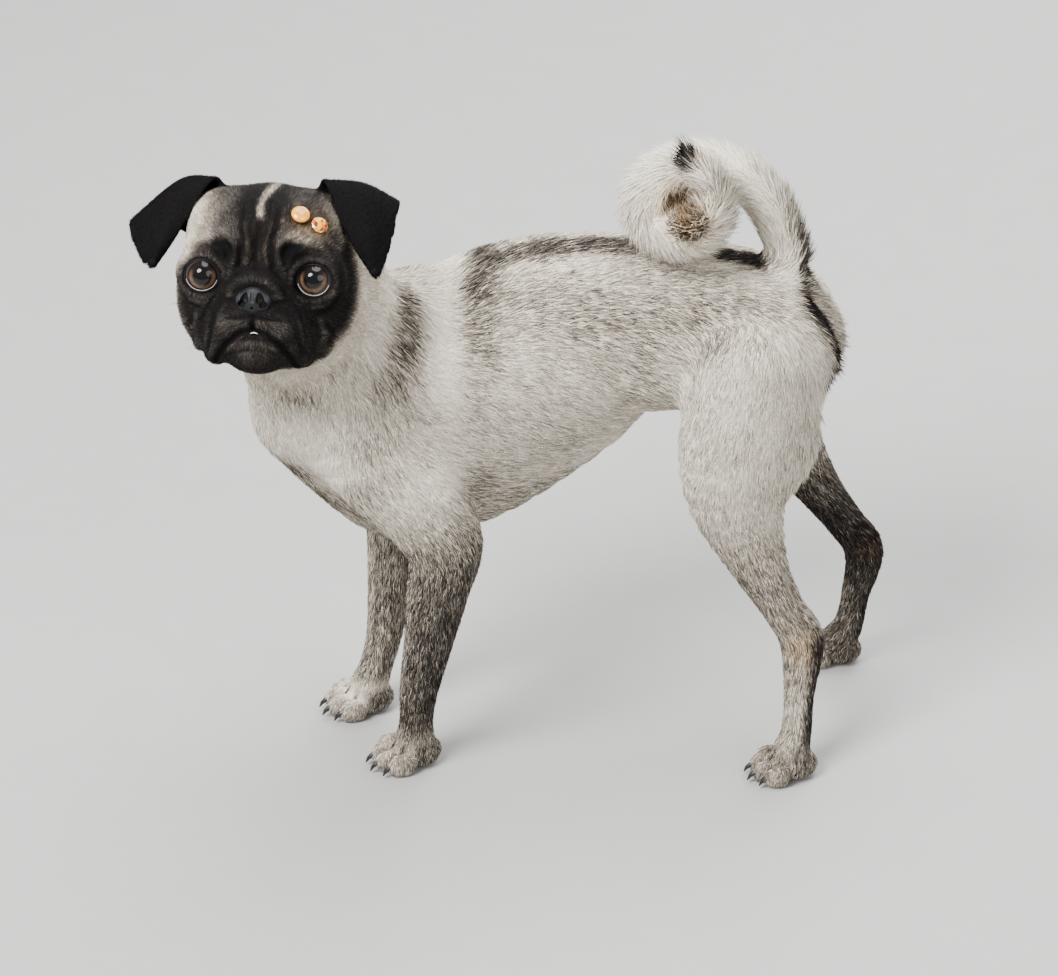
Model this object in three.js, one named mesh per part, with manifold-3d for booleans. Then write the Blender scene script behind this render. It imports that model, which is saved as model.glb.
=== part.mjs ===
// A pug standing still, its forequarters and head turned to its left, life size, in millimetres.
// +Z is up, the dog looks along -Y with its left side towards +X, and its paws stand on z = 0.
// The flesh is a smooth union of limbs and balls, meshed a region at a time and parted with thin cuts.
import * as THREE from "three";
import { edgeTable, triTable } from "three/addons/objects/MarchingCubes.js";
import { mergeVertices } from "three/addons/utils/BufferGeometryUtils.js";
import Module from "manifold-3d";

const wasm = await Module();
wasm.setup();

// Driving dimensions.
const GAP = 0.3; // between the faces of two nodes that meet
const EYE_RADIUS = 12.4;
const EAR_THICKNESS = 2.4;
const HUGE = 1200; // longer than the whole dog, for cutting blocks

// The head's middle and how it is turned: about Z, then pitched up, in degrees.
const HEAD = { at: [70, -141, 342], yaw: -5.7, pitch: 18 };

const rad = THREE.MathUtils.degToRad;
const vec = (a) => new THREE.Vector3(...a);
const mix = (a, b, t) => a + (b - a) * t;

// The head's own axes: forward, to its left and up.
const headAxes = new THREE.Matrix4()
  .makeRotationZ(rad(HEAD.yaw))
  .multiply(new THREE.Matrix4().makeRotationY(rad(-HEAD.pitch)))
  .setPosition(...HEAD.at);
const inHead = (p) => vec(p).applyMatrix4(headAxes).toArray();

// Smooth union and smooth cut of two distances, blended over k millimetres.
function join(a, b, k) {
  const h = Math.max(k - Math.abs(a - b), 0) / k;
  return Math.min(a, b) - (h * h * k) / 4;
}
const carve = (a, b, k) => -join(-a, b, k);

// About the distance to an ellipsoid with radii a, b and c, from an offset to its middle.
function ellipsoid(x, y, z, a, b, c) {
  const near = Math.hypot(x / a, y / b, z / c);
  if (near < 1e-6) return -Math.min(a, b, c);
  return (near * (near - 1)) / Math.hypot(x / (a * a), y / (b * b), z / (c * c));
}

// A ball with a radius along each of three axes, blended over k into what it joins.
function ball(middle, radii, k = 10, axes = new THREE.Matrix4()) {
  const e = axes.elements;
  const at = (px, py, pz) => {
    const x = px - middle[0];
    const y = py - middle[1];
    const z = pz - middle[2];
    return ellipsoid(
      x * e[0] + y * e[1] + z * e[2],
      x * e[4] + y * e[5] + z * e[6],
      x * e[8] + y * e[9] + z * e[10],
      ...radii,
    );
  };
  return { k, middle, reach: Math.max(...radii), at };
}

// A limb: a smooth tube of ellipses through stations, each a point, a half width across, and a half
// depth above and below, or behind and in front where the limb runs down. Its ends are round.
function limb(stations, across = [1, 0, 0], k = 12, steps = 4) {
  const line = new THREE.CatmullRomCurve3(stations.map((s) => vec(s[0])), false, "catmullrom", 0.5);
  const sizes = new THREE.CatmullRomCurve3(
    stations.map((s) => new THREE.Vector3(s[1], s[2] ?? s[1], s[3] ?? s[2] ?? s[1])),
    false,
    "catmullrom",
    0.5,
  );
  const count = (stations.length - 1) * steps;
  const rings = [];
  for (let i = 0; i <= count; i++) {
    const along = line.getTangent(i / count);
    const wide = vec(across).addScaledVector(along, -vec(across).dot(along)).normalize();
    const deep = new THREE.Vector3().crossVectors(wide, along);
    rings.push({ at: line.getPoint(i / count), along, wide, deep, size: sizes.getPoint(i / count) });
  }
  const pieces = rings.slice(1).map((b, i) => {
    const a = rings[i];
    const run = b.at.clone().sub(a.at);
    const middle = a.at.clone().add(b.at).multiplyScalar(0.5);
    const reach = run.length() / 2 + Math.max(...a.size.toArray(), ...b.size.toArray());
    return { a, b, run, length2: run.lengthSq(), middle, reach };
  });
  const middle = new THREE.Box3().setFromPoints(rings.map((r) => r.at)).getCenter(new THREE.Vector3());
  const reach = Math.max(...rings.map((r) => r.at.distanceTo(middle) + Math.max(...r.size.toArray())));
  const nearest = (some) => (x, y, z) => {
    let best = Infinity;
    for (const { a, b, run, length2, middle: m, reach: r } of some) {
      if (Math.hypot(x - m.x, y - m.y, z - m.z) - r > best) continue;
      const px = x - a.at.x;
      const py = y - a.at.y;
      const pz = z - a.at.z;
      const t = Math.min(1, Math.max(0, (px * run.x + py * run.y + pz * run.z) / length2));
      const dx = px - t * run.x;
      const dy = py - t * run.y;
      const dz = pz - t * run.z;
      const off = (p, q) => dx * mix(p.x, q.x, t) + dy * mix(p.y, q.y, t) + dz * mix(p.z, q.z, t);
      const deep = off(a.deep, b.deep);
      const width = mix(a.size.x, b.size.x, t);
      const depth = deep > 0 ? mix(a.size.y, b.size.y, t) : mix(a.size.z, b.size.z, t);
      const end = Math.min(width, depth);
      best = Math.min(best, ellipsoid(off(a.wide, b.wide), deep, off(a.along, b.along), width, depth, end));
    }
    return best;
  };
  const between = (from, to) => {
    return { k, middle: middle.toArray(), reach, at: nearest(pieces.slice(from, to)) };
  };
  return { ...between(0, pieces.length), between, line };
}

const cut = (form) => ({ ...form, cut: true });

// The signed distance to a list of forms, each joined to those before it, or carved out of them.
function field(forms) {
  return (x, y, z) => {
    let d = 1e6;
    for (const f of forms) {
      const far = Math.hypot(x - f.middle[0], y - f.middle[1], z - f.middle[2]) - f.reach;
      if (f.cut) d = far < f.k + 3 ? carve(d, f.at(x, y, z), f.k) : d;
      else if (far < d + f.k) d = d > 1e5 ? f.at(x, y, z) : join(d, f.at(x, y, z), f.k);
    }
    return d;
  };
}

// Marching cubes over a box from low to high. Where the form runs out of the box it is closed there.
const CORNERS = [[0, 0, 0], [1, 0, 0], [1, 1, 0], [0, 1, 0], [0, 0, 1], [1, 0, 1], [1, 1, 1], [0, 1, 1]];
const EDGES = [
  [0, 1], [1, 2], [3, 2], [0, 3],
  [4, 5], [5, 6], [7, 6], [4, 7],
  [0, 4], [1, 5], [2, 6], [3, 7],
];
function surface(distance, low, high, cell) {
  const size = low.map((v, i) => Math.ceil((high[i] - v) / cell) + 1);
  const step = [1, size[0], size[0] * size[1]];
  const value = new Float32Array(size[0] * size[1] * size[2]).fill(NaN);
  const block = 4;
  const each = (from, to, visit) => {
    for (let k = from[2]; k < to[2]; k++)
      for (let j = from[1]; j < to[1]; j++) for (let i = from[0]; i < to[0]; i++) visit(i, j, k);
  };
  const point = (i, j, k) => [low[0] + i * cell, low[1] + j * cell, low[2] + k * cell];
  each([0, 0, 0], size.map((n) => Math.ceil(n / block)), (bi, bj, bk) => {
    const first = [bi * block, bj * block, bk * block];
    const last = first.map((v, i) => Math.min(v + block, size[i]));
    const middle = distance(...point(...first.map((v) => v + (block - 1) / 2)));
    const near = Math.abs(middle) < block * cell * 1.7;
    each(first, last, (i, j, k) => {
      const d = near ? distance(...point(i, j, k)) : middle;
      const rim = [i, j, k].some((v, axis) => v === 0 || v === size[axis] - 1);
      value[i + j * step[1] + k * step[2]] = rim ? Math.max(d, 1e-3) : Math.abs(d) < 1e-5 ? 1e-5 : d;
    });
  });
  const places = [];
  const faces = [];
  const known = new Map();
  const vertex = (q, i, j, k, edge) => {
    const [a, b] = EDGES[edge].map((c) => CORNERS[c]);
    const axis = a.findIndex((v, n) => v !== b[n]);
    const qa = q + a[0] + a[1] * step[1] + a[2] * step[2];
    const key = qa * 3 + axis;
    if (!known.has(key)) {
      const t = value[qa] / (value[qa] - value[qa + step[axis]]);
      const p = point(i + a[0], j + a[1], k + a[2]);
      p[axis] += Math.min(0.9, Math.max(0.1, t)) * cell;
      known.set(key, places.push(p) - 1);
    }
    return known.get(key);
  };
  each([0, 0, 0], size.map((n) => n - 1), (i, j, k) => {
    const q = i + j * step[1] + k * step[2];
    let kind = 0;
    CORNERS.forEach((c, n) => (kind |= value[q + c[0] + c[1] * step[1] + c[2] * step[2]] < 0 ? 1 << n : 0));
    if (!edgeTable[kind]) return;
    for (let n = kind * 16; triTable[n] !== -1; n += 3) {
      faces.push([0, 1, 2].map((m) => vertex(q, i, j, k, triTable[n + m])));
    }
  });
  return { places, faces };
}

// Thins a closed mesh to a number of faces, by the edge collapse that moves its surface least.
const EVENNESS = 2e-4; // how much long edges are kept off flat stretches
function thin({ places, faces }, count, weight = () => 1) {
  const at = places.map((p) => vec(p));
  const around = at.map(() => new Set());
  const alive = new Uint8Array(faces.length).fill(1);
  const quadric = at.map(() => new Float64Array(10));
  const normal = (a, b, c) => b.clone().sub(a).cross(c.clone().sub(a));
  faces.forEach((face, f) => {
    const [a, b, c] = face.map((v) => at[v]);
    const n = normal(a, b, c);
    const area = n.length();
    n.normalize();
    const d = -n.dot(a);
    const w = area * weight(...a.toArray());
    const row = [n.x, n.y, n.z, d];
    let m = 0;
    const term = [];
    for (let i = 0; i < 4; i++) for (let j = i; j < 4; j++) term[m++] = row[i] * row[j] * w;
    for (const v of face) {
      around[v].add(f);
      term.forEach((t, i) => (quadric[v][i] += t));
    }
  });
  const price = (q, p) =>
    q[0] * p.x * p.x + 2 * q[1] * p.x * p.y + 2 * q[2] * p.x * p.z + 2 * q[3] * p.x +
    q[4] * p.y * p.y + 2 * q[5] * p.y * p.z + 2 * q[6] * p.y + q[7] * p.z * p.z + 2 * q[8] * p.z + q[9];
  const best = (a, b) => {
    const q = quadric[a].map((v, i) => v + quadric[b][i]);
    const solve = new THREE.Matrix3().set(q[0], q[1], q[2], q[1], q[4], q[5], q[2], q[5], q[7]);
    const middle = at[a].clone().add(at[b]).multiplyScalar(0.5);
    const options = [middle, at[a].clone(), at[b].clone()];
    if (Math.abs(solve.determinant()) > 1e-4 * (q[0] + q[4] + q[7]) ** 3) {
      const p = new THREE.Vector3(-q[3], -q[6], -q[8]).applyMatrix3(solve.invert());
      if (p.distanceTo(middle) < at[a].distanceTo(at[b]) * 1.5) options.unshift(p);
    }
    const costs = options.map((p) => price(q, p));
    const pick = costs.indexOf(Math.min(...costs));
    const length2 = at[a].distanceToSquared(at[b]);
    return { p: options[pick], cost: costs[pick] + EVENNESS * length2 * length2 };
  };
  const heap = [];
  const version = new Int32Array(at.length);
  const push = (a, b) => {
    const item = { ...best(a, b), a, b, va: version[a], vb: version[b] };
    let i = heap.push(item) - 1;
    while (i && heap[(i - 1) >> 1].cost > item.cost) {
      heap[i] = heap[(i - 1) >> 1];
      i = (i - 1) >> 1;
    }
    heap[i] = item;
  };
  const pop = () => {
    const top = heap[0];
    const last = heap.pop();
    if (heap.length) {
      let i = 0;
      for (;;) {
        let c = 2 * i + 1;
        if (c >= heap.length) break;
        if (c + 1 < heap.length && heap[c + 1].cost < heap[c].cost) c++;
        if (heap[c].cost >= last.cost) break;
        heap[i] = heap[c];
        i = c;
      }
      heap[i] = last;
    }
    return top;
  };
  const neighbours = (v) => new Set([...around[v]].flatMap((f) => faces[f]).filter((u) => u !== v));
  at.forEach((_, v) => neighbours(v).forEach((u) => u > v && push(v, u)));
  const shape = (corners) => {
    const n = normal(...corners);
    const longest = Math.max(...[0, 1, 2].map((i) => corners[i].distanceToSquared(corners[(i + 1) % 3])));
    return { fullness: n.length() / longest, n: n.normalize() };
  };
  const flips = (v, other, p) =>
    [...around[v]].some((f) => {
      if (faces[f].includes(other)) return false;
      const before = shape(faces[f].map((u) => at[u]));
      const after = shape(faces[f].map((u) => (u === v ? p : at[u])));
      return after.fullness < Math.min(0.25, before.fullness) || before.n.dot(after.n) < 0.4;
    });
  let left = faces.length;
  while (left > count && heap.length) {
    const { a, b, p, va, vb } = pop();
    if (version[a] !== va || version[b] !== vb) continue;
    const shared = neighbours(b);
    const common = [...neighbours(a)].filter((v) => shared.has(v)).length;
    if (common !== 2 || flips(a, b, p) || flips(b, a, p)) continue;
    for (const f of [...around[b]]) {
      if (faces[f].includes(a)) {
        faces[f].forEach((v) => around[v].delete(f));
        alive[f] = 0;
        left--;
      } else {
        faces[f] = faces[f].map((v) => (v === b ? a : v));
        around[a].add(f);
      }
    }
    around[b].clear();
    at[a].copy(p);
    quadric[a] = quadric[a].map((v, i) => v + quadric[b][i]);
    version[a]++;
    version[b] = -1;
    neighbours(a).forEach((v) => push(a, v));
  }
  return { places: at.map((p) => p.toArray()), faces: faces.filter((_, f) => alive[f]) };
}

// Evens out the faces of a mesh, each vertex sliding along the form that it lies on.
function relax({ places, faces }, distance, rounds, slide) {
  const at = places.map((p) => vec(p));
  const around = at.map(() => new Set());
  faces.forEach((f) => f.forEach((v, i) => around[v].add(f[(i + 1) % 3]).add(f[(i + 2) % 3])));
  const e = 0.2;
  for (let round = 0; round < rounds; round++) {
    at.forEach((p, v) => {
      if (!around[v].size || Math.abs(distance(p.x, p.y, p.z)) > 0.8) return;
      const middle = new THREE.Vector3();
      around[v].forEach((u) => middle.add(at[u]));
      const q = p.clone().lerp(middle.divideScalar(around[v].size), slide);
      for (let step = 0; step < 2; step++) {
        const d = distance(q.x, q.y, q.z);
        const slope = new THREE.Vector3(
          distance(q.x + e, q.y, q.z) - d,
          distance(q.x, q.y + e, q.z) - d,
          distance(q.x, q.y, q.z + e) - d,
        ).divideScalar(e);
        q.addScaledVector(slope, -d / Math.max(slope.lengthSq(), 0.2));
      }
      if (q.distanceTo(p) < 6) p.copy(q);
    });
  }
  return { places: at.map((p) => p.toArray()), faces };
}

// A form meshed in a box, thinned to a number of faces and evened out.
function meshed(distance, low, high, cell, count, weight) {
  const fine = relax(surface(distance, low, high, cell), distance, 2, 0.5);
  return solid(relax(thin(fine, count, weight), distance, 2, 0.3));
}

// A closed mesh as a solid, turned outside out where its faces look in.
function solid({ places, faces }) {
  const volume = faces.reduce((sum, f) => {
    const [a, b, c] = f.map((v) => vec(places[v]));
    return sum + a.dot(b.cross(c));
  }, 0);
  const used = new Map();
  const out = [];
  const number = (v) => {
    if (!used.has(v)) used.set(v, out.push(...places[v]) / 3 - 1);
    return used.get(v);
  };
  const triVerts = Uint32Array.from(faces.flatMap((f) => (volume > 0 ? f : [...f].reverse()).map(number)));
  return new wasm.Manifold(new wasm.Mesh({ numProp: 3, vertProperties: Float32Array.from(out), triVerts }));
}

// A three.js geometry, placed by a matrix, as a solid.
function solidOf(geometry, matrix = new THREE.Matrix4()) {
  const plain = geometry.clone().applyMatrix4(matrix);
  plain.deleteAttribute("normal");
  plain.deleteAttribute("uv");
  const merged = mergeVertices(plain, 1e-4);
  const p = merged.attributes.position;
  const places = Array.from({ length: p.count }, (_, i) => [p.getX(i), p.getY(i), p.getZ(i)]);
  const index = Array.from(merged.index.array);
  const faces = [];
  for (let i = 0; i < index.length; i += 3) {
    const face = index.slice(i, i + 3);
    if (new Set(face).size === 3) faces.push(face);
  }
  return solid({ places, faces });
}

// All that lies on the side of a plane that its normal points to, as a huge block.
function beyond(point, normal, offset = 0) {
  const n = vec(normal).normalize();
  const turn = new THREE.Quaternion().setFromUnitVectors(new THREE.Vector3(0, 0, 1), n);
  const middle = vec(point).addScaledVector(n, HUGE / 2 + offset);
  const matrix = new THREE.Matrix4().compose(middle, turn, new THREE.Vector3(1, 1, 1));
  return solidOf(new THREE.BoxGeometry(HUGE, HUGE, HUGE), matrix);
}

// Parts a solid by planes: what lies beyond all of them, and the rest, half a gap back on each side.
function part(body, planes) {
  const inner = planes.reduce((s, [point, normal]) => s.intersect(beyond(point, normal, GAP / 2)), body);
  const taken = planes
    .map(([point, normal]) => beyond(point, normal, -GAP / 2))
    .reduce((a, b) => a.intersect(b));
  return [inner, body.subtract(taken)];
}

// The largest closed surface of a solid, as a geometry.
function geometryOf(body) {
  const pieces = body.decompose().map((m) => ({ m, v: Math.abs(m.volume()) }));
  const mesh = pieces.sort((a, b) => b.v - a.v)[0].m.getMesh();
  const geometry = new THREE.BufferGeometry();
  const places = new Float32Array(mesh.numVert * 3);
  for (let v = 0; v < mesh.numVert; v++) {
    places.set(mesh.vertProperties.subarray(v * mesh.numProp, v * mesh.numProp + 3), v * 3);
  }
  geometry.setAttribute("position", new THREE.BufferAttribute(places, 3));
  geometry.setIndex(new THREE.BufferAttribute(Uint32Array.from(mesh.triVerts), 1));
  geometry.computeVertexNormals();
  return geometry;
}

// Closed rings of points, joined in order, and each end zipped shut from one side of its ring to the other.
function loft(rings) {
  const n = rings[0].length;
  const places = rings.flat();
  const faces = [];
  for (let i = 0; i + 1 < rings.length; i++) {
    for (let j = 0; j < n; j++) {
      const [a, b] = [i * n + j, i * n + ((j + 1) % n)];
      faces.push([a, b, b + n], [a, b + n, a + n]);
    }
  }
  for (const first of [0, (rings.length - 1) * n]) {
    const close = (...corners) => faces.push((first ? corners : corners.reverse()).map((v) => v + first));
    for (let a = 0, b = n - 1; a < b - 1; a++, b--) {
      close(a, a + 1, b);
      if (a + 1 < b - 1) close(a + 1, b - 1, b);
    }
  }
  return { places, faces };
}

// Trunk and neck: middle, half width, half depth above and below.
const trunk = limb(
  [
    [[21, -129, 236], 28, 34, 36],
    [[7, -106, 238], 46, 58, 70],
    [[-5, -78, 240], 57, 60, 103],
    [[-14, -40, 241], 61, 62, 99],
    [[-27, 0, 244], 65, 68, 77],
    [[-32, 42, 247], 59, 67, 42],
    [[-31, 80, 250], 53, 62, 37],
    [[-27, 112, 251], 52, 58, 38],
    [[-23, 138, 251], 44, 48, 39],
    [[-21, 148, 250], 26, 29, 26],
  ],
  [1, 0, 0],
  14,
);
const neck = limb(
  [
    [[0, -80, 250], 45, 48],
    [[20, -104, 284], 43, 42],
    [[41, -125, 312], 41, 41],
    [[54, -133, 330], 37, 37],
  ],
  [0.6, 0.8, 0],
  16,
);

const throat = limb(
  [[[56, -136, 306], 26], [[42, -129, 274], 30], [[26, -118, 240], 32]],
  [0.6, 0.8, 0],
  18,
);
const nape = ball([27, -120, 330], [36, 38, 38], 16);

// Legs, from the top down: each station has its middle, half width, and half depth behind and in front.
// The root planes take a leg from the trunk, and the seams are stations where the leg is parted.
const LEGS = {
  foreleg_left: {
    across: [0.94, 0.34, 0],
    stations: [
      [[16, -62, 284], 14, 26],
      [[40, -92, 226], 22, 28],
      [[46, -62, 186], 21, 27],
      [[45, -48, 158], 18, 24],
      [[42, -52, 126], 15, 20],
      [[39, -58, 90], 12.5, 15.5],
      [[36, -64, 56], 11.5, 12],
      [[33, -66, 34], 10.5, 10.5],
      [[31, -67, 18], 12, 12],
    ],
    paw: { at: [30, -70], turn: 18, scale: 0.94 },
    root: [
      [[26, -70, 150], [0.85, 0.2, -0.5]],
      [[2, -80, 100], [0.94, 0.34, 0]],
      [[0, -20, 100], [0, -1, 0]],
    ],
    seams: [3, 7],
  },
  foreleg_right: {
    across: [0.94, 0.34, 0],
    stations: [
      [[-20, -52, 284], 14, 26],
      [[-36, -94, 222], 22, 28],
      [[-44, -84, 186], 21, 27],
      [[-40, -78, 158], 18, 23],
      [[-36, -79, 126], 15, 19],
      [[-32, -82, 90], 12.5, 15],
      [[-29, -86, 56], 11.5, 11.5],
      [[-28, -91, 34], 10.5, 10.5],
      [[-28, -96, 18], 12, 12],
    ],
    paw: { at: [-28, -100], turn: 14, scale: 0.94 },
    root: [
      [[-28, -80, 150], [-0.85, -0.2, -0.5]],
      [[-2, -80, 100], [-0.94, -0.34, 0]],
      [[0, -50, 100], [0, -1, 0]],
    ],
    seams: [3, 7],
  },
  hindleg_left: {
    across: [0.99, 0.14, 0],
    stations: [
      [[14, 130, 260], 27, 36],
      [[20, 119, 214], 25, 47, 36],
      [[25, 115, 178], 21, 36, 26],
      [[26, 129, 140], 16, 21, 18],
      [[27, 146, 108], 13, 13.5],
      [[28, 158, 84], 11.5, 14, 13],
      [[32, 158, 50], 9.5, 9.5],
      [[37, 157, 28], 10.5, 9.5],
      [[41, 154, 16], 11, 11],
    ],
    paw: { at: [43, 152], turn: 10, scale: 0.9 },
    root: [
      [[-22, 110, 203], [0.7, 0, -0.71]],
      [[-22, 110, 203], [1, 0, 0]],
      [[0, 74, 215], [0, 1, -0.35]],
    ],
    seams: [3, 5, 7],
  },
  hindleg_right: {
    across: [0.99, -0.14, 0],
    stations: [
      [[-60, 140, 260], 27, 36],
      [[-66, 138, 214], 25, 38, 36],
      [[-69, 147, 174], 20, 26, 24],
      [[-72, 170, 134], 15, 16],
      [[-74, 189, 106], 12.5, 12.5],
      [[-76, 202, 83], 11.5, 13, 12],
      [[-79, 199, 50], 9.5, 9],
      [[-81, 196, 28], 10.5, 9.5],
      [[-83, 191, 16], 11, 11],
    ],
    paw: { at: [-84, 187], turn: -6, scale: 0.9 },
    root: [
      [[-26, 110, 203], [-0.7, 0, -0.71]],
      [[-26, 110, 203], [-1, 0, 0]],
      [[0, 84, 215], [0, 1, -0.35]],
    ],
    seams: [3, 5, 7],
  },
};
const legs = Object.entries(LEGS).map(([name, leg]) => {
  return { name, ...leg, form: limb(leg.stations, leg.across) };
});

// A paw: a pad and four toes, the middle two ahead of the outer two. Toes point along -Y before the turn.
const TOES = [-13, -5, 5, 13].map((side) => ({ side, ahead: Math.abs(side) > 9 ? 9 : 15 }));
function pawAxes({ at, turn, scale }) {
  return new THREE.Matrix4()
    .makeRotationZ(rad(turn))
    .scale(new THREE.Vector3(scale, scale, scale))
    .setPosition(at[0], at[1], 0);
}
function pawForms(paw) {
  const axes = pawAxes(paw);
  const turned = new THREE.Matrix4().makeRotationZ(rad(paw.turn));
  const point = (p) => vec(p).applyMatrix4(axes).toArray();
  const sized = (radii) => radii.map((r) => r * paw.scale);
  return [
    ball(point([0, 3, 9]), sized([14, 17, 10.5]), 5, turned),
    ...TOES.map(({ side, ahead }) => ball(point([side, -ahead, 7.5]), sized([5.6, 9.5, 8.6]), 2.5, turned)),
  ];
}
// Claws: cones that leave the toes forwards and down, their bases sunk in.
const CLAW = { radius: 1.9, length: 7, height: 7.6, sunk: 3.4, slope: 36 };
function claws(paw) {
  const axes = pawAxes(paw);
  return TOES.map(({ side, ahead }) => {
    const claw = new THREE.Matrix4()
      .makeTranslation(side * 1.04, -ahead - 9.5 + CLAW.sunk, CLAW.height)
      .multiply(new THREE.Matrix4().makeRotationX(rad(180 + CLAW.slope)))
      .multiply(new THREE.Matrix4().makeTranslation(0, CLAW.length / 2, 0));
    return solidOf(new THREE.ConeGeometry(CLAW.radius, CLAW.length, 7), axes.clone().multiply(claw));
  });
}

// Tail: a tight curl that climbs from the croup, runs forward, drops beside itself and ends in a point.
const TAIL = [
  [[-21, 143, 278], 16],
  [[-22, 145, 298], 14.5],
  [[-22, 143, 318], 13.5],
  [[-24, 135, 339], 13],
  [[-26, 121, 354], 12.5],
  [[-28, 105, 361], 13],
  [[-28, 88, 360], 14],
  [[-27, 74, 352], 15.5],
  [[-23, 67, 341], 15],
  [[-15, 70, 332], 13],
  [[-6, 80, 330], 13],
  [[2, 91, 334], 13],
  [[5, 100, 345], 12.5],
  [[5, 102, 356], 11],
  [[5, 98, 366], 8],
  [[3, 92, 375], 4.5],
  [[1, 88, 382], 1.5],
];
const TAIL_STEPS = 3;
const TAIL_SEAMS = [1.7, 4.5, 7.5, 10.5, 16];
const tail = limb(TAIL, [1, 0, 0], 8, TAIL_STEPS);
const tailRoot = { ...tail.between(0, 4 * TAIL_STEPS), k: 14 };
const tailSeam = (station) => {
  const t = station / (TAIL.length - 1);
  return [tail.line.getPoint(t).toArray(), tail.line.getTangent(t).toArray()];
};

// Head, in its own axes: forward, left and up from its middle.
const HEAD_AXES_ONLY = new THREE.Matrix4().extractRotation(headAxes);
const knob = (at, radii, k) => ball(inHead(at), radii, k, HEAD_AXES_ONLY);
const ridge = (stations, k = 4) => {
  const placed = stations.map(([ahead, left, up, radius]) => [inHead([ahead, left, up]), radius]);
  return limb(placed, [0.02, 0.03, 1], k, 3);
};
const both = (make) => [1, -1].flatMap((side) => make(side));
const EYE = [24.5, 30, 4.5];
const skull = [
  knob([-9, 0, 6], [43, 46, 44], 14),
  knob([12, 0, 18], [24, 36, 27], 14),
  knob([4, 0, -33], [30, 30, 16], 16),
  ...both((s) => [knob([-2, 22 * s, -13], [33, 27, 30], 14), knob([-4, 27 * s, 29], [26, 15, 17], 12)]),
];
const face = [
  knob([27, 0, -16], [21, 25, 20], 10),
  knob([36.5, 0, -5], [12, 14, 10.5], 6),
  ...both((s) => [
    knob([22, 30 * s, 4.5], [15.5, 16.5, 16], 5),
    ridge([[35, 6 * s, 10, 2.5], [35, 8 * s, 21, 3.2], [29.5, 7 * s, 34, 2.5], [22, 6 * s, 42, 1.5]], 5),
    ridge([[34, 15 * s, 13, 3], [33, 21 * s, 21.5, 3.5], [27, 31 * s, 24, 3.5], [20, 40 * s, 19, 2]], 7),
    ridge([[33, 21 * s, -6, 3], [31, 26 * s, -17, 4], [24, 31 * s, -29, 4], [15, 34 * s, -36, 2.5]], 6),
    ridge([[40, 4 * s, -16, 9], [38, 12 * s, -23, 10.5], [31, 20 * s, -34, 9], [23, 24 * s, -39, 6]], 5),
  ]),
  ridge([[33, -21, -9, 3], [39, -12, 1, 4], [41.5, 0, 5.5, 4.5], [39, 12, 1, 4], [33, 21, -9, 3]], 4),
  knob([28, 0, -36.5], [17, 18, 11.5], 3),
];

// Nose leather.
const NOSE = { at: [45.6, 0, -5.8], radii: [6.5, 9.4, 7.9] };
const NOSE_WING = { at: [46.3, 6, -7.4], radius: 4.8 };
const noseForms = [
  knob(NOSE.at, NOSE.radii, 4),
  ...both((s) => {
    const [ahead, left, up] = NOSE_WING.at;
    return [knob([ahead, s * left, up], Array(3).fill(NOSE_WING.radius), 3)];
  }),
];

// The cleft between the buttocks, from under the tail down.
const cleft = limb(
  [[[-18, 158, 296], 4], [[-15, 171, 270], 6], [[-16, 174, 240], 6], [[-20, 168, 210], 5]],
  [1, 0, 0],
  7,
);

const flesh = [trunk, neck, throat, nape, ...legs.map((l) => l.form), tailRoot, cut(cleft)];
const bodyField = field(flesh);
const headField = field([trunk, neck, throat, nape, ...skull, ...face]);
const noseField = field(noseForms);

// The point of a form that is seen straight from in front of the head, at a place across and up.
function inFront(distance, across, up) {
  const away = (forward) => distance(...inHead([forward, across, up]));
  let forward = 60;
  while (away(forward) > 0.05) forward -= away(forward) * 0.5;
  return [forward, across, up];
}

// A groove: a round cutter laid along a form through points across and up, thin at its ends.
const GROOVE_SIDES = 7;
function groove(distance, points, radius, ends, steps) {
  const line = new THREE.CatmullRomCurve3(points.map(([across, up]) => vec(inFront(distance, across, up))));
  const rings = [];
  for (let i = 0; i <= steps; i++) {
    const t = i / steps;
    const at = line.getPoint(t);
    const along = line.getTangent(t);
    const side = new THREE.Vector3(1, 0, 0).cross(along).normalize();
    const out = new THREE.Vector3().crossVectors(along, side);
    const r = radius * Math.min(1, mix(ends, 1, 4 * Math.min(t, 1 - t)));
    const turn = (j) => (2 * Math.PI * j) / GROOVE_SIDES;
    const spoke = (j) =>
      at.clone().addScaledVector(side, r * Math.cos(turn(j))).addScaledVector(out, r * Math.sin(turn(j)));
    rings.push(Array.from({ length: GROOVE_SIDES }, (_, j) => inHead(spoke(j).toArray())));
  }
  return solid(loft(rings));
}

// Mouth line, an arch from corner to corner, with the split of the upper lip over its middle.
const MOUTH_HALF = [[0, -21.5], [7, -23], [14.3, -29], [19, -36], [21.5, -41]];
const MOUTH = [...MOUTH_HALF.slice(1).reverse().map(([left, up]) => [-left, up]), ...MOUTH_HALF];
const LIP_SPLIT = [[0, -13.5], [0, -17.5], [0, -21.5]];
const NOSTRIL = [[4.6, -2.2], [4.6, -5], [5.6, -7.4], [8.8, -8.6]];

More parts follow.
